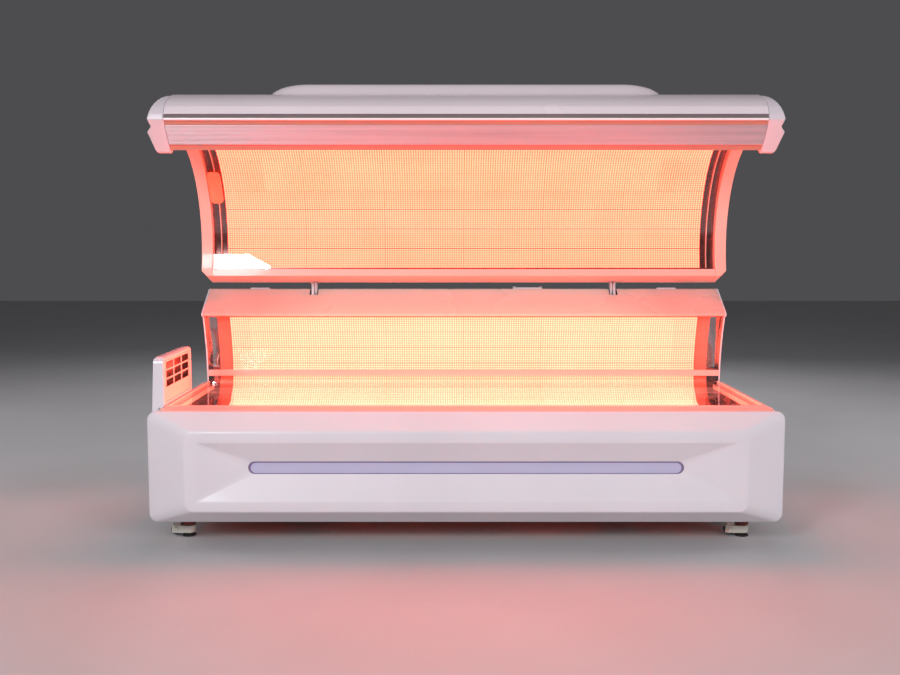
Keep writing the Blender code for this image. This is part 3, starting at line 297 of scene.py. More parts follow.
def toned(name, sockets, grain, tones, gloss, bump=None):
    """A finish whose tone and gloss drift with one noise, and that another noise may roughen."""
    finish = Finish(name, sockets)
    drift = finish.noise(*grain)
    finish.feed({"Base Color": finish.mottled(drift, *tones), "Roughness": drift * gloss[1] + gloss[0]})
    if bump:
        bump_grain, *height = bump
        finish.feed({"Normal": finish.bumped(finish.noise(*bump_grain), *height)})
    return finish


ivory_tones = ((0.69, 0.65, 0.57), (0.78, 0.74, 0.66))
ivory_nylon = grained("ivory_nylon", {}, 14.0, ivory_tones, (320.0,), (0.35, 0.2), 0.06)
NYLON = {"Specular IOR Level": 0.4}
METAL = {"Metallic": 1.0}
rubber_tones = ((0.012, 0.012, 0.012), (0.035, 0.033, 0.032))
tread_rubber = toned(
    "tread_rubber", {"Specular IOR Level": 0.3}, (60.0, 6.0), rubber_tones, (0.55, 0.25), ((700.0,), 0.15)
)
dark_tones = ((0.05, 0.05, 0.055), (0.09, 0.09, 0.095))
grey_nylon = toned("grey_nylon", NYLON, (90.0, 5.0), dark_tones, (0.38, 0.25))
red_tones = ((0.20, 0.035, 0.022), (0.30, 0.055, 0.035))
red_nylon = toned("red_nylon", NYLON, (80.0,), red_tones, (0.36, 0.2))
zinc_tones = ((0.52, 0.53, 0.55), (0.66, 0.67, 0.69))
zinc_plate = toned("zinc_plate", METAL, (140.0, 4.0), zinc_tones, (0.24, 0.2))
for place in PLACES:
    caster_body = merged_copy("caster_housing_" + place, "caster_body_" + place)
    low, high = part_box("caster_pad_" + place)
    x = (low[0] + high[0]) / 2
    y = (low[1] + high[1]) / 2
    for point in caster_body.data.vertices:
        inner = Vector((min(max(point.co.x, x - AXLE_AT[0]), x), y, point.co.z))
        if abs(point.co.z - BODY_TOP) < 0.0002:
            point.co.z -= BODY_DROP
        elif point.co.z < BODY_LOW + 0.0005 and (point.co - inner).length > BODY_INSIDE:
            point.co -= (point.co - inner).normalized() * BODY_TAPER
    rounded(caster_body, 0.0018, 3)
    fitted(caster_body, ivory_nylon, "caster_ivory", "caster_" + place, "caster_body_" + place)
    refitted(
        "caster_roller_" + place,
        "caster_wheel_" + place,
        (0.0014, 3, 40.0),
        grey_nylon,
        "caster_nylon",
        "wheel_" + place,
    )
    axle_caps = []
    for side in (-1.0, 1.0):
        spot = Vector((x - AXLE_AT[0], y + side * AXLE_AT[1], AXLE_AT[2]))
        cap_points = [(spot.x + AXLE_CAP * r, spot.y + side * out, spot.z) for r, out in CAP_LINE]
        axle_caps.append(turned("axle_cap", cap_points, spot, (0, 1, 0), 24))
    axle_cap = joined("axle_caps_" + place, axle_caps)
    fitted(axle_cap, ivory_nylon, "caster_ivory", "caster_" + place)
    foot_line = [(0.0, 0.0), (PAD_RADIUS - 0.003, 0.0), (PAD_RADIUS - 0.0006, 0.0008), (PAD_RADIUS, 0.0026)]
    foot_line += [(PAD_RADIUS, PAD_TOP - 0.0052), (PAD_RADIUS - 0.001, PAD_TOP - 0.0042)]
    foot_line += [(PAD_RADIUS - 0.0055, PAD_TOP - 0.001), (SPINDLE_RADIUS + 0.003, PAD_TOP), (0.0, PAD_TOP)]
    foot = turned("pad_rubber", [(x + r, y, z) for r, z in foot_line], (x, y, 0.0), (0, 0, 1))
    foot.data.materials.append(tread_rubber.material)
    thread = []
    z = PAD_TOP - THREAD_PITCH / 2
    while z < DIAL_LOW:
        thread += [(SPINDLE_RADIUS, z), (SPINDLE_RADIUS - THREAD_DEEP, z + THREAD_PITCH / 2)]
        z += THREAD_PITCH
    thread = [(0.0, thread[0][1])] + thread + [(0.0, thread[-1][1])]
    spindle = turned("pad_spindle", [(x + r, y, z) for r, z in thread], (x, y, 0.0), (0, 0, 1), 24)
    spindle.data.materials.append(zinc_plate.material)
    dial = begun(
        "dial",
        bpy.ops.mesh.primitive_cylinder_add,
        vertices=2 * DIAL_RIBS,
        radius=PAD_RADIUS,
        depth=DIAL_HIGH - DIAL_LOW,
        location=(x, y, (DIAL_LOW + DIAL_HIGH) / 2),
    )
    for point in dial.data.vertices:
        turn = math.atan2(point.co.y - y, point.co.x - x)
        if round(turn / math.tau * 2 * DIAL_RIBS) % 2:
            point.co.x = x + (point.co.x - x) * DIAL_DIP
            point.co.y = y + (point.co.y - y) * DIAL_DIP
    rounded(dial, 0.0009, 2, 40.0)
    dial.data.materials.append(red_nylon.material)
    caster_pad = joined("levelling_pad_" + place, [foot, spindle, dial])
    fitted(caster_pad, None, "caster_rubber", "pad_" + place, "caster_pad_" + place)

# Power supply and control box: folded steel boxes screwed to the floor ladder, coated satin black.
black_tones = ((0.018, 0.018, 0.02), (0.032, 0.032, 0.035))
satin_black = toned(
    "satin_black", {"Specular IOR Level": 0.45}, (30.0, 5.0), black_tones, (0.34, 0.2), ((800.0, 2.0), 0.08)
)
for node in ("power_supply", "control_box"):
    refitted(node + "_case", node, (0.003,), satin_black, "black_metal", "base")

# Covers: the two ends and the back are vacuum formed from gloss white sheet, lavender in cool light, with
# soft folded edges. The rear cover is screwed to the frame and has punched vents.
SCREW_LINE = ((0.0, 0.0013), (0.42, 0.0013), (0.46, 0.0031), (0.7, 0.0027))
SCREW_LINE += ((0.93, 0.0016), (1.0, 0.0004), (1.0, -0.0006))
REAR_FACE = 0.55


def screw_heads(name, places, way, radius=0.0055):
    """Button-head screws with a hexagon socket, at each place and facing one way."""
    first = turned("screw", [(radius * r, 0.0, z) for r, z in SCREW_LINE], (0, 0, 0), (0, 0, 1), 18)
    heading = Vector(way).to_track_quat("Z", "Y").to_matrix().to_4x4()
    screws = []
    for spot in places:
        screw = linked("screw", first.data.copy())
        screw.data.transform(Matrix.Translation(spot) @ heading)
        screws.append(screw)
    bpy.data.objects.remove(first)
    return joined(name, screws)


def gloss_white(name, dark, light, gloss, coat=0.35):
    """Gloss sheet: an even tone with a faint drift, a slight orange peel and a clear top coat."""
    sockets = {"Coat Weight": coat, "Coat Roughness": 0.08}
    return toned(name, sockets, (2.2, 4.0), (dark, light), (gloss, 0.08), ((170.0, 2.0), 0.025))


cover_white = gloss_white("cover_white", (0.72, 0.69, 0.73), (0.77, 0.745, 0.785), 0.16)
for node in ("left_side_panel", "right_side_panel", "rear_panel"):
    refitted(node + "_cover", node, (0.0015, 2, 20.0), cover_white, "gloss_white", "base")
screw_places = []
for z, across in ((0.115, 1.06), (0.765, 1.03)):
    screw_places += [(x, REAR_FACE, z) for x in (-across, -0.53, 0.0, 0.53, across)]
screw_places += [(x, REAR_FACE, 0.40) for x in (-1.06, 1.06)]
cover_screws = screw_heads("rear_cover_screws", screw_places, (0, 1, 0))
fitted(cover_screws, zinc_plate, "rod_steel", "base")

# Mains inlet and rocker: a black moulded socket frame with a rocker switch beside it.
refitted("inlet_frame", "mains_inlet", (0.0007, 2), satin_black, "black_plastic", "base")
refitted("rocker_key", "power_switch", (0.001, 3), satin_black, "black_plastic", "mains_rocker")

# Rear exhaust fan: an axial fan with a square moulded frame and a rotor on its hub, black plastic.
FAN_EDGE = (0.0006, 2, 40.0)
for node, body in (("rear_fan_frame", "base"), ("rear_fan_rotor", "rear_fan")):
    refitted(node + "_moulding", node, FAN_EDGE, satin_black, "black_plastic", body)

# Lower light box: a folded aluminium tray carries flat boards side by side, set in rows that follow its
# curve. Each board is a thin printed panel with a grid of small diode chips that give red light. The tray's
# coral tone is painted red light from the boards, apart from a polished strip at each end.
BED_ROWS = ((0.1434, 0.4255), (0.2115, 0.3955), (0.2848, 0.3822), (0.3589, 0.3744), (0.4333, 0.3700))
BED_ROWS += ((0.5078, 0.3714), (0.5822, 0.3760), (0.6564, 0.3838), (0.7276, 0.4045), (0.7788, 0.4565))
JOINT_ROW = ((0.7788, 0.4565), (0.7920, 0.4887))
BACK_ROWS = ((0.7920, 0.4887), (0.7949, 0.5548), (0.7843, 0.6209), (0.7673, 0.6857), (0.7441, 0.7485))
FRONT_FACE = -0.55
BOARD_COLUMNS = 6
BOARD_STEP = 0.317
BOARD_WIDE = 0.3162
BOARD_THICK = 0.0016
BOARD_SEAM = 0.0021
CHIP = 0.0048
CHIP_THICK = 0.0014
CHIP_STEP = 0.0092


def lit(name, colour, strength, spread, lamp=True):
    """A surface that gives off red light, its tone drifting slightly. A lamp also lights what is near it."""
    glow = Finish(name, {"Base Color": (0.5, 0.2, 0.12, 1.0), "Roughness": 0.5})
    deep = [channel * (1.0 - spread * (1 + index * 0.5)) for index, channel in enumerate(colour)]
    drift = glow.noise(5.0, 4.0)
    glow.feed({"Emission Color": glow.mottled(drift, deep, colour), "Emission Strength": strength})
    if not lamp:
        glow.material.cycles.emission_sampling = "NONE"
    return glow


def block(name, middle, size):
    """A box by its middle and its size, to be shaped further."""
    return begun(name, bpy.ops.mesh.primitive_cube_add, size, size=1.0, location=middle)


def pick(piece, kind, wanted):
    """Selects the points, edges or faces of a piece that pass a test, and leaves the piece in edit mode."""
    alone(piece)
    bpy.ops.object.mode_set(mode="EDIT")
    bpy.ops.mesh.select_mode(type=kind)
    bpy.ops.mesh.select_all(action="DESELECT")
    edit_done()
    elements = {"VERT": piece.data.vertices, "EDGE": piece.data.edges, "FACE": piece.data.polygons}
    for element in elements[kind]:
        element.select = wanted(element)
    bpy.ops.object.mode_set(mode="EDIT")


def in_rows(piece, count, step):
    """Repeats a piece's mesh in a row, one step apart."""
    spread = {"count": count, "use_relative_offset": False, "use_constant_offset": True}
    applied(piece, "ARRAY", {**spread, "constant_offset_displace": step})


def board(high, board_finish, chip_finish):
    """One flat light board facing the front, with its chips in a grid."""
    panel = block("board", (0.0, BOARD_THICK / 2, 0.0), (BOARD_WIDE, BOARD_THICK, high))
    panel.data.materials.append(board_finish.material)
    across = round(BOARD_STEP / CHIP_STEP)
    up = round((high + BOARD_SEAM) / CHIP_STEP)
    side_step = BOARD_STEP / across
    up_step = (high + BOARD_SEAM) / up
    corner = (-side_step * (across - 1) / 2, -CHIP_THICK / 2, -up_step * (up - 1) / 2)
    chips = block("chips", corner, (CHIP, CHIP_THICK, CHIP))
    pick(chips, "FACE", lambda face: face.normal.y > 0.9)
    bpy.ops.mesh.delete(type="FACE")
    edit_done()
    in_rows(chips, across, (side_step, 0.0, 0.0))
    in_rows(chips, up, (0.0, 0.0, up_step))
    chips.data.materials.append(chip_finish.material)
    return joined("board", [panel, chips])


def board_bank(name, edges, board_finish, chip_finish):
    """Rows of boards: each row lies flat between two neighbouring edge points, given in depth and height."""
    high = math.dist(edges[0], edges[1]) - BOARD_SEAM
    first = board(high, board_finish, chip_finish)
    in_rows(first, BOARD_COLUMNS, (BOARD_STEP, 0.0, 0.0))
    rows = []
    for low, top in zip(edges, edges[1:]):
        row = linked("row", first.data.copy())
        lean = math.atan2(low[0] - top[0], top[1] - low[1])
        middle = (
            -BOARD_STEP * (BOARD_COLUMNS - 1) / 2,
            FRONT_FACE + (low[0] + top[0]) / 2,
            (low[1] + top[1]) / 2,
        )
        stretch = (math.dist(low, top) - BOARD_SEAM) / high
        shape = Matrix.Translation(middle) @ Matrix.Rotation(lean, 4, "X")
        row.data.transform(shape @ Matrix.Diagonal((1.0, 1.0, stretch, 1.0)))
        rows.append(row)
    bpy.data.objects.remove(first)
    return joined(name, rows)


lower_board = lit("lower_board_light", (1.0, 0.056, 0.032), 8.2, 0.10)
lower_chip = lit("lower_chip_light", (1.0, 0.129, 0.090), 8.7, 0.05, False)
bed_board = lit("bed_board_light", (1.0, 0.084, 0.050), 8.2, 0.10)
bed_chip = lit("bed_chip_light", (1.0, 0.172, 0.114), 8.7, 0.05, False)
bed_bank = board_bank("bed_boards", BED_ROWS, bed_board, bed_chip)
fitted(bed_bank, None, "led_boards", "base", "bed_led_boards")
back_rows = board_bank("back_rows", BACK_ROWS, lower_board, lower_chip)
joint_row = board_bank("joint_row", JOINT_ROW, lower_board, lower_chip)
back_bank = joined("back_boards", [back_rows, joint_row])
fitted(back_bank, None, "led_boards", "base", "back_led_boards")


def partly(piece, finish, wanted):
    """Gives the faces of a piece that pass a test a second finish."""
    piece.data.materials.append(finish.material)
    for face in piece.data.polygons:
        face.material_index = int(wanted(face))


def rolled_sheet_tone(name, dark, light, metal):
    """Sheet whose tone is painted light, with faint rolling marks along its length."""
    return toned(name, {"Metallic": metal}, (30.0, 3.0, (0.1, 1.0, 1.0)), (dark, light), (0.16, 0.12))


def polished(name, dark, light):
    """Buffed sheet, slightly wavy, with fine polishing marks."""
    marks = (120.0, 5.0, (1.0, 0.08, 1.0))
    return toned(name, METAL, marks, (dark, light), (0.04, 0.06), ((4.0, 1.0), 1.0, 0.03))


# The coral tone is painted red light from the boards, falling on the bare tray.
glow_painted_tray = rolled_sheet_tone("tray_coral_glow", (0.66, 0.25, 0.17), (0.76, 0.30, 0.21), 0.15)
polished_end = polished("polished_end", (0.50, 0.44, 0.43), (0.57, 0.51, 0.50))
STRIP_AT = 1.004
lower_tray = merged_copy("lower_light_tray", "lower_led_tray")
edit_all(lower_tray)
for x in (-STRIP_AT, STRIP_AT):
    bpy.ops.mesh.select_all(action="SELECT")
    bpy.ops.mesh.bisect(plane_co=(x, 0.0, 0.0), plane_no=(1.0, 0.0, 0.0))
edit_done()
rounded(lower_tray, 0.0008, 2)
fitted(lower_tray, glow_painted_tray, "aluminium", "base", "lower_led_tray")
partly(lower_tray, polished_end, lambda face: abs(face.center.x) > STRIP_AT)

# End plates: cut from thin sheet with a mirror-polished, slightly wavy inner face, which carries the light
# on. Their cut edges and outer faces are gloss white, and they close the light box and cap the header.
# The mirror's dark brown tone is painted: it darkens the real reflections.
mirror_painted_dark = polished("mirror_polished", (0.17, 0.13, 0.12), (0.21, 0.165, 0.155))
for hand, inward in (("left", 1.0), ("right", -1.0)):
    plate = hand + "_end_plate"
    end_plate = refitted(plate, hand + "_end_panel", (0.0012, 2), cover_white, "mirror_polished", "base")
    partly(end_plate, mirror_painted_dark, lambda face: face.normal.x * inward > 0.95)

# Back shield and its rail: clear acrylic bent to the upstand's curve, held at its lower edge in a white rail.
# A clear strip below the rail closes the gap to the back edge of the lying sheet.


def clear_sheet(name, tint, gloss):
    """Clear acrylic: light goes straight through, and the surface reflects more towards grazing angles."""
    sheet = Finish(name, {"Base Color": (*tint, 1.0), "Roughness": 0.02})
    reflected = sheet.node("BsdfGlossy", {"Roughness": sheet.noise(3.0, 2.0) * 0.006 + 0.002})
    passed = sheet.node("BsdfTransparent", {"Color": (*tint, 1.0)})
    facing = sheet.node("LayerWeight", {"Blend": 0.5}, "Facing")
    squared = facing * facing
    share = squared * squared * facing * gloss + 0.04
    blend = sheet.node("MixShader", {"Fac": share, 1: passed, 2: reflected})
    sheet.feed({"Surface": blend}, sheet.tree.nodes["Material Output"])
    return sheet


clear_acrylic = clear_sheet("clear_acrylic", (0.97, 0.97, 0.97), 0.96)
refitted("upstand_shield", "back_shield", (0.0006, 2), clear_acrylic, "clear_acrylic", "base")
RAIL_LOW = 0.5075
RAIL_TOP = 0.5316
RAIL_SPLIT = 0.5
RAIL_FOOT_SIZE = (2.0874, 0.004, 0.042)
RAIL_FOOT_HEIGHT = 0.4886
SHEET_BACK = 0.7478
shield_rail = merged_copy("upstand_rail", "shield_rail")
for point in shield_rail.data.vertices:
    if point.co.z > RAIL_SPLIT:
        point.co.z = RAIL_TOP
    else:
        point.co.z = RAIL_LOW
        point.co.y = max(point.co.y, FRONT_FACE + SHEET_BACK)
edit_all(shield_rail)
bpy.ops.mesh.remove_doubles(threshold=0.0002)
bpy.ops.mesh.dissolve_limited(angle_limit=SAME_PLANE)
edit_done()
rounded(shield_rail, 0.002, 3)
rail_foot_middle = (0.0, FRONT_FACE + SHEET_BACK + 0.004, RAIL_FOOT_HEIGHT)
rail_foot = block("upstand_rail_foot", rail_foot_middle, RAIL_FOOT_SIZE)
rounded(rail_foot, 0.0008, 2)
fitted(rail_foot, clear_acrylic, "clear_acrylic", "base")
# Warm white: white plastic with a warm tint that is painted red glow from the boards.
warm_painted_glow = gloss_white("warm_painted_glow", (0.78, 0.64, 0.55), (0.83, 0.69, 0.60), 0.18)
# The rails' coral tint on white paint is painted red glow from the boards.
rail_painted_glow = gloss_white("rail_painted_glow", (0.66, 0.46, 0.39), (0.71, 0.50, 0.43), 0.4)
fitted(shield_rail, rail_painted_glow, "aluminium", "base", "shield_rail")

# Header: a folded white cover over the upstand, its nose and top edge bent round. Its front slope is painted
# coral as the canopy boards' red glow, redder towards the ends. Two low buffers and a latch strip with two
# screws sit on its edge, and a slot lets each hinge arm through.
HEADER_SLOPE = FRONT_FACE + 0.86
STRIP_DEPTH = 0.836
STRIP_DEEP = 0.020
STRIP_FOOT = 0.848
# The front slope's coral is painted red glow from the canopy boards.
header_glow_tones = ((0.79, 0.62, 0.53), (0.84, 0.46, 0.40))
header_painted_glow = gloss_white("header_painted_glow", *header_glow_tones, 0.24)
# The painted glow grows with the square of the distance from the middle, strongest at the ends.
across = header_painted_glow.node("SeparateXYZ", {"Vector": header_painted_glow.node("TexCoord", {}, "Object")}, "X")
header_painted_glow.feed({"Base Color": header_painted_glow.mottled(across * across, *header_glow_tones)})
header = refitted("header_cover", "rear_header", (0.0022, 3, 12.0), cover_white, "gloss_white", "base")
partly(header, header_painted_glow, lambda face: face.normal.y < -0.05 and face.center.y < HEADER_SLOPE)
for name, left, right, top, corner in (
    ("header_buffer_left", -0.882, -0.800, 0.8645, 0.0065),
    ("header_buffer_right", 0.798, 0.880, 0.8645, 0.0065),
    ("header_latch_strip", 0.204, 0.326, 0.8655, 0.002),
):
    middle = ((left + right) / 2, FRONT_FACE + STRIP_DEPTH, (STRIP_FOOT + top) / 2)
    strip = block(name, middle, (right - left, STRIP_DEEP, top - STRIP_FOOT))
    rounded(strip, corner, 4)
    fitted(strip, cover_white, "gloss_white", "base")
latch_screw_places = [(x, FRONT_FACE + STRIP_DEPTH, 0.8670) for x in (0.211, 0.319)]
latch_screws = screw_heads("header_latch_screws", latch_screw_places, (0, 0, 1), 0.0075)
fitted(latch_screws, zinc_plate, "rod_steel", "base")

# Deck rim and lying sheet: a white moulded frame with a ledge inside and a sloped front, open at the back. A
# thick flat sheet of clear acrylic lies on the ledge.
OPEN_HALF = 1.0360
OPEN_FRONT = 0.1200
RIM_BACK = 0.7470
RIM_SIDE = 0.0240
RIM_NOSE = 0.0545
RIM_TOP = 0.4870
RIM_LOW = 0.4744
RIM_SLOPE = FRONT_FACE + 0.085
LEDGE = 0.0160
LEDGE_TOP = 0.4729
LEDGE_LOW = 0.4552
rim_section = [(-1.0, LEDGE_LOW), (-1.0, LEDGE_TOP), (0.0, LEDGE_TOP), (0.0, RIM_TOP - 0.0024)]
rim_section += [(0.012, RIM_TOP - 0.0008), (0.045, RIM_TOP), (0.26, RIM_TOP), (0.36, RIM_TOP - 0.0005)]
rim_section += [(0.46, RIM_TOP - 0.0019), (0.95, RIM_TOP - 0.0104), (0.99, RIM_TOP - 0.0115), (1.0, RIM_LOW)]
rim_section += [(0.44, RIM_LOW), (0.44, LEDGE_LOW)]
rim_rings = []
for hand, deep in ((-1.0, False), (-1.0, True), (1.0, True), (1.0, False)):
    ring_line = []
    for out, z in rim_section:
        x = OPEN_HALF + (out * RIM_SIDE if out > 0 else out * LEDGE)
        depth = OPEN_FRONT - (out * RIM_NOSE if out > 0 else out * LEDGE)
        ring_line.append((hand * x, FRONT_FACE + (depth if deep else RIM_BACK), z))
    ring = drawn("rim_station", ring_line)
    edit_all(ring)
    bpy.ops.mesh.edge_face_add()
    if deep:
        bpy.ops.mesh.delete(type="ONLY_FACE")
    edit_done()
    rim_rings.append(ring)
rim = joined("deck_frame", rim_rings)
corners = len(rim_section)
for index in range(3):
    pair = range(index * corners, (index + 2) * corners)
    pick(rim, "VERT", lambda point: point.index in pair)
    bpy.ops.mesh.bridge_edge_loops()
    edit_done()
edit_all(rim)
bpy.ops.mesh.normals_make_consistent(inside=False)
edit_done()
rounded(rim, 0.0012, 2, 50.0)
# The rim's warm tint is painted red glow.
fitted(rim, warm_painted_glow, "gloss_white", "base", "deck_rim")
# Coral white: white plastic painted coral as the boards' red glow, on the rim's sloped front and the cheeks.
coral_painted_glow = gloss_white("coral_painted_glow", (0.78, 0.46, 0.38), (0.83, 0.50, 0.42), 0.36)
partly(rim, coral_painted_glow, lambda face: face.normal.y < -0.3 and face.center.y < RIM_SLOPE)
lying_acrylic = clear_sheet("lying_acrylic", (0.98, 0.98, 0.98), 0.5)
refitted("lying_sheet", "acrylic_bed", (0.0012, 2), lying_acrylic, "clear_acrylic", "base")

# Front panel: one vacuum-formed gloss sheet. A hipped bezel rises to a flat face, and a hipped recess runs
# down to the round-ended slot of the front light; every fold is drawn with a soft radius.
PANEL_OUTSIDE = (1.099, 0.086, 0.474)
FLAT_FACE = (0.960, 0.137, 0.410)
RECESS = (0.925, 0.172, 0.376)
SLOT = (0.750, 0.2588, 0.3018)
PANEL_SHEET = 0.004
PANEL_FOLDS = (
    (PANEL_OUTSIDE, -0.004, 0.002, -0.002, 0.026, 0.088),
    (PANEL_OUTSIDE, 0.0, 0.0, 0.0, 0.030, 0.070),
    (PANEL_OUTSIDE, 0.0, 0.0, 0.0, 0.030, 0.064),
    (PANEL_OUTSIDE, -0.0008, 0.0005, -0.0008, 0.030, 0.0605),
    (PANEL_OUTSIDE, -0.003, 0.0016, -0.003, 0.029, 0.0575),
    (PANEL_OUTSIDE, -0.008, 0.0035, -0.0065, 0.028, 0.0543),
    (FLAT_FACE, 0.011, -0.0040, 0.0085, 0.036, 0.0055),
    (FLAT_FACE, 0.005, -0.0022, 0.0045, 0.034, 0.0022),
    (FLAT_FACE, 0.0, 0.0005, -0.0005, 0.032, 0.0006),
    (FLAT_FACE, -0.006, 0.005, -0.005, 0.030, 0.0),
    (RECESS, 0.003, -0.0025, 0.0025, 0.014, 0.0001),
    (RECESS, -0.001, 0.0005, -0.0005, 0.012, 0.0008),
    (RECESS, -0.008, 0.0042, -0.0030, 0.011, 0.0026),
    (SLOT, 0.007, -0.0042, 0.0034, 0.0235, 0.0442),
    (SLOT, 0.0015, -0.001, 0.001, 0.0222, 0.0458),
    (SLOT, 0.0, 0.0, 0.0, 0.0214, 0.048),
)
CORNER_STEPS = 8


def upright(name, middle, wide, high, radius):
    """A flat face towards the front with round corners, left in edit mode."""
    piece = begun(
        name,
        bpy.ops.mesh.primitive_plane_add,
        (wide, high, 1.0),
        size=1.0,
        location=middle,
        rotation=(math.radians(90.0), 0.0, 0.0),
    )
    edit_all(piece)
    bpy.ops.mesh.bevel(
        offset=radius, offset_type="ABSOLUTE", segments=CORNER_STEPS, affect="VERTICES", clamp_overlap=False
    )
    return piece


def edge_ring(half, low, high, radius, depth):
    """A rounded rectangle of edges, upright and facing the front."""
    ring = upright("ring", (0.0, FRONT_FACE + depth, (low + high) / 2), 2 * half, high - low, radius)
    bpy.ops.mesh.delete(type="ONLY_FACE")
    edit_done()
    return ring


def on_ring(point, half, low, high, radius, depth):
    """Tells whether a point belongs to an edge ring."""
    level = abs(point.y - FRONT_FACE - depth) < 0.00001
    return level and half - radius - 0.0001 < abs(point.x) < half + 0.0001


def walled(piece, way, thickness):
    """Turns all faces of a sheet one way and gives it a wall behind them."""
    edit_all(piece)
    bpy.ops.mesh.normals_make_consistent(inside=False)
    edit_done()
    if sum(face.normal.dot(Vector(way)) * face.area for face in piece.data.polygons) < 0:
        piece.data.flip_normals()
    applied(piece, "SOLIDIFY", {"thickness": thickness, "offset": -1.0})


rings = []
for (half, low, high), out, down, up, radius, depth in PANEL_FOLDS:
    rings.append((half + out, low + down, high + up, radius, depth))
panel = joined("front_moulding", [edge_ring(*ring) for ring in rings])
for outer, inner in zip(rings, rings[1:]):
    pick(panel, "VERT", lambda point: on_ring(point.co, *outer) or on_ring(point.co, *inner))
    bpy.ops.mesh.bridge_edge_loops()
    edit_done()
walled(panel, (0, -1, 0), PANEL_SHEET)
bpy.ops.object.shade_smooth_by_angle(angle=math.radians(32.0))
panel_white = gloss_white("panel_white", (0.72, 0.69, 0.725), (0.77, 0.74, 0.775), 0.38, 0.1)
fitted(panel, panel_white, "gloss_white", "base", "front_panel")

# Front light: a frosted lavender lens held behind the slot, lit by a strip on a bar. Its rim is painted
# darker as the shadow of the slot's edge, most along the top.
LENS_SINK = 0.0050
LENS_RIM = 0.0031
LENS_RIM_DROP = 0.0019
LENS_RIM_NARROW = 0.9945


def frosted(name, base, dark, light):
    """Frosted plastic with a faint light behind it."""
    glow = Finish(name, {"Base Color": (*base, 1.0), "Emission Strength": 0.42})
    along = glow.noise(4.0, 3.0, (1.0, 1.0, 4.0))
    glow.feed({"Emission Color": glow.mottled(along, dark, light), "Roughness": along * 0.15 + 0.3})
    return glow


lens_glow = frosted("frosted_lens", (0.31, 0.30, 0.41), (0.39, 0.37, 0.52), (0.45, 0.43, 0.58))
# Darker rim: painted shadow of the slot's edge.
lens_painted_shadow = frosted("lens_shadow_paint", (0.15, 0.11, 0.20), (0.16, 0.12, 0.24), (0.20, 0.15, 0.29))
lens = merged_copy("front_lens", "front_light_diffuser")
lens_front = min(point.co.y for point in lens.data.vertices)
for point in lens.data.vertices:
    if point.co.y < lens_front + 0.003:
        point.co.y += LENS_SINK
# An inset ring, set lower so it is widest at the top, carries the painted shadow.
pick(lens, "FACE", lambda face: face.normal.y < -0.99)
bpy.ops.mesh.inset(thickness=LENS_RIM)
bpy.ops.transform.resize(value=(LENS_RIM_NARROW, 1.0, 1.0), center_override=(0.0, 0.0, 0.0))
bpy.ops.transform.translate(value=(0.0, 0.0, -LENS_RIM_DROP))
edit_done()
rounded(lens, 0.0016, 3)
fitted(lens, lens_glow, "light_lens", "base", "front_light_diffuser")
lit_area = max(face.area for face in lens.data.polygons if face.normal.y < -0.99)
partly(lens, lens_painted_shadow, lambda face: face.area < lit_area and face.normal.y < 0.5)
refitted("front_light_carrier", "front_light_bar", (0.0012, 2), powder_grey, "frame_steel", "base")

# Side vent: a white moulded housing on the deck's left end with a punched grille facing the bed, and a
# long vaned rotor that draws air through it.
VENT_SEAT = -1.0612
VENT_FOOT = 0.0112
vent_case = merged_copy("vent_case", "vent_housing")
for point in vent_case.data.vertices:
    if abs(point.co.x - VENT_SEAT) < 0.0008 and abs(point.co.z - RIM_TOP) < 0.0012:
        point.co.z -= VENT_FOOT
rounded(vent_case, 0.003, 3)
fitted(vent_case, cover_white, "gloss_white", "base", "vent_housing")
# The housing's inside faces are painted dark red: painted shade, tinted by the boards' red glow.
vent_painted_shade = gloss_white("vent_hollow_painted_shade", (0.24, 0.075, 0.065), (0.30, 0.095, 0.08), 0.4)
VENT_MIDDLE = Vector((-1.0625, FRONT_FACE + 0.2845, 0.571))
VENT_ROOM = (0.0165, 0.185, 0.0845)


def faces_vent_room(face):
    """Tells whether a face lies inside the housing and looks to its middle."""
    inward = VENT_MIDDLE - face.center
    within = all(abs(reach) < half for reach, half in zip(inward, VENT_ROOM))
    return within and face.normal.dot(inward) > 0


partly(vent_case, vent_painted_shade, faces_vent_room)
# The grille's warm tint is painted red glow.
refitted("vent_face", "vent_grille", (0.001, 2), warm_painted_glow, "gloss_white", "base")
refitted("vent_roller", "vent_rotor", (0.0004, 2), satin_black, "black_plastic", "vent_fan")

# Canopy hinges and gas springs: cut steel plates turning on shouldered pins, and black gas cylinders whose
# polished rods press on the cranks of the canopy arms.
painted_plate = gloss_white("painted_plate", (0.62, 0.60, 0.62), (0.68, 0.66, 0.68), 0.3)
chrome_tones = ((0.62, 0.63, 0.65), (0.74, 0.75, 0.77))
rod_chrome = toned("rod_chrome", METAL, (400.0, 2.0, (1.0, 0.05, 1.0)), chrome_tones, (0.1, 0.1))
PLATE_EDGE = (0.001, 2, 40.0)
for hand in ("left", "right"):
    for name, node, edge, finish, slot, body in (
        ("hinge_post_plate_", "hinge_bracket_", PLATE_EDGE, painted_plate, "frame_steel", "base"),
        ("hinge_arm_plate_", "canopy_arm_", PLATE_EDGE, painted_plate, "frame_steel", "canopy"),
        ("spring_cylinder_", "gas_cylinder_", (0.0012, 3, 40.0), satin_black, "black_metal", "base"),
        ("spring_rod_", "gas_rod_", (0.0008, 2, 40.0), rod_chrome, "rod_steel", hand + "_rod"),
    ):
        refitted(name + hand, node + hand, edge, finish, slot, body)

# Canopy light bank: rows of flat boards round the tunnel on a curved tray, dark where no board covers it.
# The tray's metal really reflects, and its dark red-brown tone is painted dark reflection. A thin white trim
# stands on the tray beside each end of the boards.
TUNNEL = (0.3161, 1.047)
CANOPY_BOARD_RADIUS = 0.4262
CANOPY_ROW_TURN = 10.61
CANOPY_FIRST_TURN = -13.4
CANOPY_ROWS = 10


def round_tunnel(reach, turn):
    """Depth and height of a point by its distance from the tunnel's middle and its turn from the back."""
    return TUNNEL[0] + reach * math.cos(turn), TUNNEL[1] + reach * math.sin(turn)


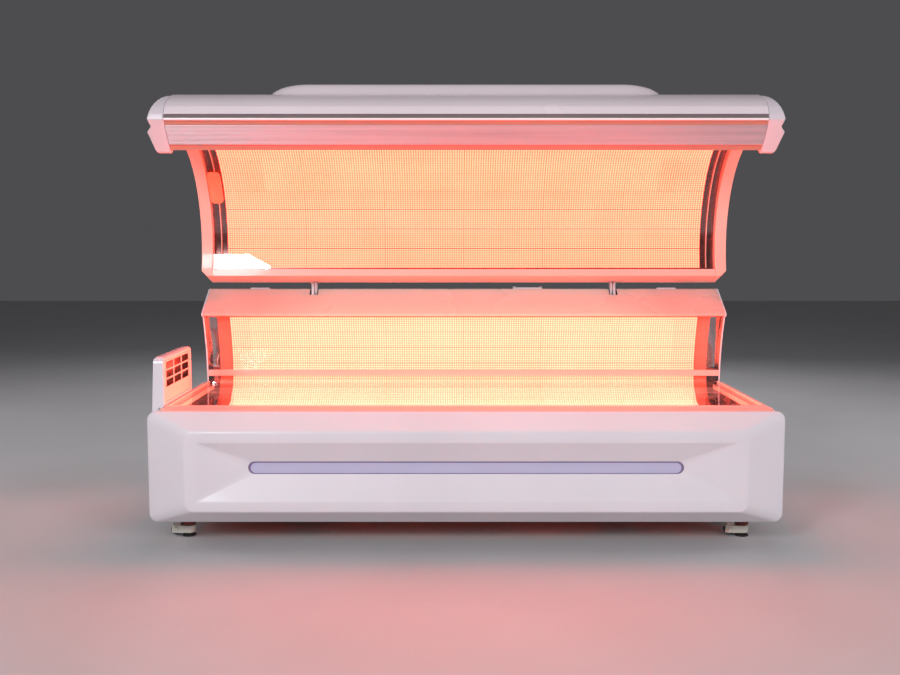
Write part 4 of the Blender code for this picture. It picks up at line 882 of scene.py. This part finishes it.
canopy_edges = []
for count in range(CANOPY_ROWS + 1):
    turn = math.radians(CANOPY_FIRST_TURN + CANOPY_ROW_TURN * count)
    canopy_edges.append(round_tunnel(CANOPY_BOARD_RADIUS, turn))
canopy_board = lit("canopy_board_light", (1.0, 0.038, 0.018), 7.0, 0.12)
canopy_chip = lit("canopy_chip_light", (1.0, 0.118, 0.073), 7.9, 0.05, False)
canopy_bank = board_bank("canopy_boards", canopy_edges, canopy_board, canopy_chip)
fitted(canopy_bank, None, "led_boards", "canopy", "canopy_led_boards")
# Dark red-brown tone: painted dark reflection on top of the metal's real one.
reflection_painted_tray = rolled_sheet_tone("tray_dark_reflection_painted", (0.16, 0.085, 0.08), (0.22, 0.12, 0.11), 0.8)
refitted("canopy_light_tray", "canopy_led_tray", (0.0008, 2), reflection_painted_tray, "aluminium", "canopy")
TRIM_AT = 0.975
TRIM_THICK = 0.0022
TRIM_LOW = 0.4165
trims = []
for x in (-TRIM_AT, TRIM_AT):
    fin = []
    for across, reach in ((0, TRIM_LOW), (1, TRIM_LOW), (1, CANOPY_BOARD_RADIUS), (0, CANOPY_BOARD_RADIUS)):
        depth, z = round_tunnel(reach, math.radians(CANOPY_FIRST_TURN))
        fin.append((x + (across - 0.5) * TRIM_THICK, FRONT_FACE + depth, z))
    trim = drawn("tray_trim", fin)
    edit_all(trim)
    bpy.ops.mesh.edge_face_add()
    edit_done()
    bend = math.radians(CANOPY_ROW_TURN * CANOPY_ROWS)
    spun(trim, 40, bend, (0.0, FRONT_FACE + TUNNEL[0], TUNNEL[1]), (-1.0, 0.0, 0.0))
    trims.append(trim)
tray_trim = joined("canopy_tray_trim", trims)
# The trim's warm tint is painted red glow.
fitted(tray_trim, warm_painted_glow, "aluminium", "canopy")

# Canopy shield: one clear acrylic sheet bent round the tunnel, which keeps hands off the boards. A coat takes
# off some of its gloss.
coated_acrylic = clear_sheet("coated_acrylic", (0.97, 0.97, 0.97), 0.4)
refitted("tunnel_shield", "canopy_shield", (0.0006, 2), coated_acrylic, "clear_acrylic", "canopy")

# Touch panel: a rounded film pad on the shield's left end, lit coral from behind.
film = Finish("touch_film", {"Roughness": 0.3, "Emission Strength": 0.35})
print_drift = film.noise(20.0)
film.feed(
    {
        "Base Color": film.mottled(print_drift, (0.80, 0.17, 0.09), (0.88, 0.21, 0.12)),
        "Emission Color": film.mottled(print_drift, (0.9, 0.17, 0.07), (1.0, 0.2, 0.09)),
    }
)
PAD_WIDE = 0.051
PAD_MIDDLE = -0.9765
PAD_LONG = 0.1394
PAD_TURN = 33.8
PAD_REACH = 0.3915
PAD_THICK = 0.008
PAD_CORNER = 0.017
PAD_CUTS = 12
touch_panel = upright("touch_panel", (PAD_MIDDLE, 0.0, 0.0), PAD_WIDE, PAD_LONG, PAD_CORNER)
for cut in range(1, PAD_CUTS):
    bpy.ops.mesh.select_all(action="SELECT")
    bpy.ops.mesh.bisect(plane_co=(0.0, 0.0, PAD_LONG * (cut / PAD_CUTS - 0.5)), plane_no=(0.0, 0.0, 1.0))
edit_done()
for point in touch_panel.data.vertices:
    depth, z = round_tunnel(PAD_REACH, math.radians(PAD_TURN) + point.co.z / PAD_REACH)
    point.co.y = FRONT_FACE + depth
    point.co.z = z
walled(touch_panel, (0, -1, 0), PAD_THICK)
rounded(touch_panel, 0.0022, 3, 40.0)
fitted(touch_panel, film, "control_film", "canopy", "control_pad")

# Bottom rail: an extruded aluminium section along the canopy's lower edge, painted white. Three lengths of
# painted sheet close the canopy's underside behind it, with room for the two hinges between them.


def extruded(name, outline, run):
    """A closed outline, filled and drawn out straight."""
    piece = drawn(name, outline)
    edit_all(piece)
    bpy.ops.mesh.edge_face_add()
    bpy.ops.mesh.extrude_region_move(TRANSFORM_OT_translate={"value": run})
    bpy.ops.mesh.select_all(action="SELECT")
    bpy.ops.mesh.normals_make_consistent(inside=False)
    edit_done()
    return piece


# The bottom rail's coral tint is painted red glow.
refitted("canopy_lower_rail", "canopy_bottom_rail", (0.0015, 3), rail_painted_glow, "aluminium", "canopy")
CLOSING_SECTION = ((0.7895, 0.8905), (0.8490, 0.9160), (0.8482, 0.9180), (0.7895, 0.8928))
for side, left, right in (("left", -1.004, -0.646), ("middle", -0.586, 0.586), ("right", 0.646, 1.004)):
    closing = extruded(
        "canopy_closing_strip_" + side,
        [(left, FRONT_FACE + depth, z) for depth, z in CLOSING_SECTION],
        (right - left, 0.0, 0.0),
    )
    rounded(closing, 0.0005, 2)
    fitted(closing, cover_white, "gloss_white", "canopy")

# Cheeks and shell: the canopy's ends are thick moulded white cheeks. One gloss sheet wraps round the back and
# laps over them, its front edge rolled down to the visor.
CHEEK_RIM = 0.48
CHEEK_BACK = -0.1
CHEEK_FRONT = 0.28
CHEEK_LAP = 0.0060
CHEEK_NOSE = 0.0140
CHEEK_CHAMFER = 0.022
SHELL_HALF = 1.039
CROWN_DROP = 0.006
FOOT_OUTSIDE = 1.049
FOOT_TOP = 0.93


def from_tunnel(point):
    """How far a point lies from the tunnel's middle line, and the way to it, seen from the side."""
    away = Vector((0.0, point.y - FRONT_FACE - TUNNEL[0], point.z - TUNNEL[1]))
    return away.length, away.normalized()


def settled(point):
    """Lowers a point of the crown slightly, most at its top."""
    way = from_tunnel(point)[1]
    if way.z > 0:
        point.z -= CROWN_DROP * way.z * way.z


def at_foot(piece, edge):
    """Tells whether an edge lies on a cheek's outer face, at its foot."""
    ends = [piece.data.vertices[index].co for index in edge.vertices]
    return min(abs(end.x) for end in ends) > FOOT_OUTSIDE and max(end.z for end in ends) < FOOT_TOP


shell_white = gloss_white("shell_white", (0.78, 0.67, 0.70), (0.83, 0.72, 0.75), 0.22)
for hand, outward in (("left", -1.0), ("right", 1.0)):
    cheek = merged_copy("end_cheek_" + hand, "canopy_" + hand + "_cheek")
    for point in cheek.data.vertices:
        distance, way = from_tunnel(point.co)
        if distance > CHEEK_RIM and way.z > CHEEK_BACK:
            point.co -= way * (CHEEK_NOSE if way.y < CHEEK_FRONT else CHEEK_LAP)
            settled(point.co)
    pick(cheek, "EDGE", lambda edge: at_foot(cheek, edge))
    bpy.ops.mesh.bevel(offset=CHEEK_CHAMFER, segments=1, affect="EDGES", clamp_overlap=True)
    edit_done()
    rounded(cheek, 0.004, 4, 35.0)
    # The cheeks' coral is painted red glow; their outer faces stay shell white.
    fitted(cheek, coral_painted_glow, "gloss_white", "canopy", "canopy_" + hand + "_cheek")
    partly(cheek, shell_white, lambda face: face.normal.x * outward > 0.9 or face.normal.y > 0.3)
SHELL_RADIUS = 0.535
SHELL_SHEET = 0.003
shell_line = [(0.1470, 1.4925), (0.1612, 1.5190), (0.1760, 1.5318), (0.1960, 1.5444), (0.2200, 1.5558)]
shell_line += [(0.2451, 1.5651), (0.2610, 1.5703)]
for turn in range(94, 1, -2):
    depth, z = round_tunnel(SHELL_RADIUS, math.radians(turn))
    crown = Vector((0.0, FRONT_FACE + depth, z))
    settled(crown)
    shell_line.append((crown.y - FRONT_FACE, crown.z))
shell_line += [(0.8531, 0.970), (0.8501, 0.914)]
shell = drawn("canopy_cover", [(-SHELL_HALF, FRONT_FACE + depth, z) for depth, z in shell_line])
edit_all(shell)
bpy.ops.mesh.extrude_region_move(TRANSFORM_OT_translate={"value": (2 * SHELL_HALF, 0.0, 0.0)})
edit_done()
walled(shell, (0, 0, 1), SHELL_SHEET)
rounded(shell, 0.0012, 3, 40.0)
bpy.ops.mesh.customdata_custom_splitnormals_clear()
bpy.ops.object.shade_smooth_by_angle(angle=math.radians(19.0))
fitted(shell, shell_white, "gloss_white", "canopy", "canopy_shell")

# Hood: a low moulded blister on the shell's crown, over the canopy's exhaust fan, its foot blending into the
# shell all round.
HOOD_HALF = 0.700
HOOD_RAMP = 0.135
HOOD_FRONT = 95.5
HOOD_BACK = 38.0
HOOD_FRONT_EASE = 8.0
HOOD_BACK_EASE = 18.0
HOOD_HIGH = 0.043
HOOD_SINK = 0.006
HOOD_SHEET = 0.002


def ease(amount):
    """Rises from 0 to 1 with a soft start and end."""
    amount = min(max(amount, 0.0), 1.0)
    return amount * amount * (3 - 2 * amount)


hood = begun("crown_hood", bpy.ops.mesh.primitive_grid_add, x_subdivisions=120, y_subdivisions=48, size=2.0)
for point in hood.data.vertices:
    x = point.co.x * HOOD_HALF
    turn = HOOD_FRONT + (HOOD_BACK - HOOD_FRONT) * (point.co.y + 1) / 2
    inset = min((HOOD_HALF - abs(x)) / HOOD_RAMP, 1.0)
    rise = math.sqrt(max(1 - (1 - inset) ** 2, 0.0))
    rise *= ease((HOOD_FRONT - turn) / HOOD_FRONT_EASE) * ease((turn - HOOD_BACK) / HOOD_BACK_EASE)
    reach = SHELL_RADIUS - HOOD_SINK + (HOOD_HIGH + HOOD_SINK) * rise
    depth, z = round_tunnel(reach, math.radians(turn))
    point.co = (x, FRONT_FACE + depth, z)
    settled(point.co)
walled(hood, (0, 0, 1), HOOD_SHEET)
bpy.ops.object.shade_smooth()
fitted(hood, shell_white, "gloss_white", "canopy", "canopy_hood")

# Canopy exhaust fan: the same axial fan as the base's, between tray and hood.
for node, body in (("canopy_fan_frame", "canopy"), ("canopy_fan_rotor", "canopy_fan")):
    refitted(node + "_moulding", node, FAN_EDGE, satin_black, "black_plastic", body)

# Visor bar: one aluminium extrusion across the canopy's front edge. A round bead, painted white as a
# highlight, runs along its top below a groove painted grey as its shade, and a ribbed brushed face, tinted
# pink as painted red glow, lies between two coves painted coral as the boards' red glow.
VISOR_TOP = Vector((0.1471, 1.473))
VISOR_FOOT = Vector((0.2321, 1.369))
VISOR_HALF = 1.0385
VISOR_DEEP = 0.0207
VISOR_BEAD = 0.0060
BEAD_START = -0.0059
BEAD_END = 0.0037
RIBS_START = 0.0235
RIBS_END = 0.1038
RIB_FIRST = 0.0243
RIB_STEP = 0.00525
RIBS = 15
down_face = (VISOR_FOOT - VISOR_TOP).normalized()
off_face = Vector((down_face.y, -down_face.x))
section = [(-0.0153, -0.0240), (-0.0062, -0.0072)]
for step in range(9):
    turn = math.radians(-128.0 + 25.0 * step)
    section.append((-0.0018 + VISOR_BEAD * math.sin(turn), -0.0025 + VISOR_BEAD * math.cos(turn)))
section += [(0.0040, -0.0042), (0.0195, -0.0042), (0.0230, -0.0004)]
for rib in range(RIBS):
    start = RIB_FIRST + RIB_STEP * rib
    section += [(start, -0.0004), (start + 0.0012, 0.0012)]
    section += [(start + 0.0026, 0.0017), (start + 0.0040, 0.0012)]
section += [(0.1032, 0.0), (0.1046, -0.0004), (0.1064, -0.0040), (0.1240, -0.0040), (0.1272, -0.0022)]
section += [(0.1285, -0.0040), (0.1285, -VISOR_DEEP), (-0.0127, -0.0290)]
visor_outline = []
for down, off in section:
    place = VISOR_TOP + down_face * down + off_face * off
    visor_outline.append((-VISOR_HALF, FRONT_FACE + place.x, place.y))
visor = extruded("visor_extrusion", visor_outline, (2 * VISOR_HALF, 0.0, 0.0))
bpy.ops.object.shade_smooth_by_angle(angle=math.radians(50.0))
BRUSH_MARKS = (60.0, 6.0, (0.02, 1.0, 1.0))
# The ribs' pink tone on brushed aluminium is painted red glow; the brush marks are real.
visor_painted_glow_tones = ((0.53, 0.40, 0.43), (0.67, 0.50, 0.53))
brushed = toned("brushed_aluminium", {"Metallic": 0.25}, BRUSH_MARKS, visor_painted_glow_tones, (0.3, 0.2))
# The bead's white is a painted highlight along it.
bead_painted_highlight = gloss_white("bead_painted_highlight", (0.92, 0.87, 0.87), (0.96, 0.91, 0.91), 0.2)
# The coves' coral is painted red glow from the boards.
cove_painted_glow = gloss_white("cove_painted_glow", (0.60, 0.19, 0.135), (0.66, 0.22, 0.155), 0.25)
# The groove's dark grey is painted shade.
groove_painted_shade = gloss_white("groove_painted_shade", (0.22, 0.17, 0.17), (0.27, 0.21, 0.21), 0.35)
fitted(visor, brushed, "aluminium", "canopy", "visor_bar")
for finish in (bead_painted_highlight, cove_painted_glow, groove_painted_shade):
    visor.data.materials.append(finish.material)
# Faces above the bead take the painted groove shade, the bead its painted highlight, the coves their painted
# glow.
for face in visor.data.polygons:
    reach = Vector((face.center.y - FRONT_FACE, face.center.z)) - VISOR_TOP
    down = reach.dot(down_face)
    if abs(face.normal.x) > 0.5 or reach.dot(off_face) < -VISOR_DEEP + 0.003:
        face.material_index = 0
    elif down < BEAD_START:
        face.material_index = 3
    elif down < BEAD_END:
        face.material_index = 1
    elif down < RIBS_START or down > RIBS_END:
        face.material_index = 2

# Visor end caps: white mouldings that carry the roof's curve round to the side and down to two pointed
# ridges with a groove between them. They fade out along the canopy's ends. Each is what three outlines, seen
# from the front, the side and above and drawn out straight, have in common.
CAP_INNER = 1.0395
CAP_FRONT_VIEW = [(CAP_INNER, 1.60), (1.040, 1.5735), (1.051, 1.567), (1.0625, 1.557), (1.0725, 1.544)]
CAP_FRONT_VIEW += [(1.0815, 1.526), (1.0895, 1.505), (1.0935, 1.488), (1.0970, 1.4785), (1.0965, 1.4735)]
CAP_FRONT_VIEW += [(1.0895, 1.4530), (1.0895, 1.4505), (1.1050, 1.4345), (1.1050, 1.4315), (1.0915, 1.376)]
CAP_FRONT_VIEW += [(1.086, 1.367), (1.045, 1.358), (CAP_INNER, 1.358)]
CAP_SIDE_VIEW = [(0.2321, 1.3685), (0.1465, 1.4730), (0.1468, 1.4765), (0.1491, 1.4925), (0.1566, 1.5075)]
CAP_SIDE_VIEW += [(0.1641, 1.5190), (0.1800, 1.5340), (0.1981, 1.5465), (0.2210, 1.5580), (0.2451, 1.5655)]
CAP_SIDE_VIEW += [(0.2792, 1.5715), (0.3161, 1.5750), (0.36, 1.5735), (0.41, 1.567), (0.47, 1.552)]
CAP_SIDE_VIEW += [(0.47, 1.51), (0.375, 1.450), (0.30, 1.395), (0.2537, 1.366)]
CAP_PLAN = [(CAP_INNER, 0.12), (1.13, 0.12), (1.128, 0.22), (1.118, 0.27), (1.103, 0.32), (1.085, 0.37)]
CAP_PLAN += [(1.066, 0.42), (1.050, 0.462), (CAP_INNER, 0.468)]
CAP_VOXEL = 0.0024
cap_body = extruded(
    "visor_cap_right", [(x, FRONT_FACE + 0.10, z) for x, z in CAP_FRONT_VIEW], (0.0, 0.42, 0.0)
)
for outline, run in (
    ([(1.02, FRONT_FACE + depth, z) for depth, z in CAP_SIDE_VIEW], (0.12, 0.0, 0.0)),
    ([(x, FRONT_FACE + depth, 1.30) for x, depth in CAP_PLAN], (0.0, 0.0, 0.32)),
):
    cutter = extruded("cap_cutter", outline, run)
    applied(cap_body, "BOOLEAN", {"operation": "INTERSECT", "solver": "EXACT", "object": cutter})
    bpy.data.objects.remove(cutter)
applied(cap_body, "REMESH", {"mode": "VOXEL", "voxel_size": CAP_VOXEL, "use_smooth_shade": True})
applied(cap_body, "SMOOTH", {"factor": 0.5, "iterations": 5})
other_cap = linked("visor_cap_left", cap_body.data.copy())
other_cap.data.transform(Matrix.Diagonal((-1.0, 1.0, 1.0, 1.0)))
other_cap.data.flip_normals()
cap_white = gloss_white("cap_white", (0.66, 0.58, 0.62), (0.71, 0.63, 0.67), 0.4, 0.08)
fitted(cap_body, cap_white, "gloss_white", "canopy", "visor_right_cap")
fitted(other_cap, cap_white, "gloss_white", "canopy", "visor_left_cap")

# Studio: a pale seamless floor, large soft lights all round and the photograph's camera.
LENS_PIXELS = 1047.0
PHOTO_PIXELS = 900.0
CAMERA_AT = (-0.0555, -4.05, 1.065)
CAMERA_TILT = 5.38
FLOOR_HALF = 14.0
floor = begun("studio_floor", bpy.ops.mesh.primitive_plane_add, size=2 * FLOOR_HALF)
floor_tones = ((0.50, 0.49, 0.49), (0.54, 0.53, 0.53))
floor_paint = toned("floor_paint", {"Specular IOR Level": 0.3}, (1.5, 5.0), floor_tones, (0.5, 0.1))
floor.data.materials.append(floor_paint.material)
for name, at, aim, size, power in (
    ("key_light", (-2.4, -4.8, 2.7), (0.0, 0.0, 0.5), 1.3, 142.0),
    ("fill_light", (3.0, -4.6, 2.1), (0.0, 0.0, 0.5), 1.5, 106.0),
    ("top_light", (0.0, 0.2, 4.4), (0.0, 0.0, 1.0), 3.0, 12.0),
    ("back_light", (0.5, 4.0, 3.0), (0.0, 0.0, 0.9), 3.0, 75.0),
    ("left_light", (-5.0, 0.6, 2.6), (0.0, 0.0, 0.8), 2.5, 60.0),
    ("right_light", (5.0, 0.6, 2.6), (0.0, 0.0, 0.8), 2.5, 60.0),
):
    light = bpy.data.lights.new(name, "AREA")
    light.size = size
    light.energy = power
    light.color = (0.97, 0.96, 1.0)
    lamp = linked(name, light)
    lamp.visible_glossy = name == "key_light"
    lamp.location = at
    lamp.rotation_euler = (Vector(aim) - Vector(at)).to_track_quat("-Z", "Y").to_euler()
world = bpy.data.worlds.new("studio")
bpy.context.scene.world = world
world.use_nodes = True
world.node_tree.nodes["Background"].inputs["Color"].default_value = (0.93, 0.92, 0.97, 1.0)
world.node_tree.nodes["Background"].inputs["Strength"].default_value = 0.08
lens_data = bpy.data.cameras.new("photo_camera")
lens_data.sensor_width = 36.0
lens_data.lens = LENS_PIXELS * lens_data.sensor_width / PHOTO_PIXELS
camera = linked("photo_camera", lens_data)
camera.location = CAMERA_AT
camera.rotation_euler = (math.radians(90.0 - CAMERA_TILT), 0.0, 0.0)
bpy.context.scene.camera = camera
bpy.context.scene.view_settings.view_transform = "Standard"
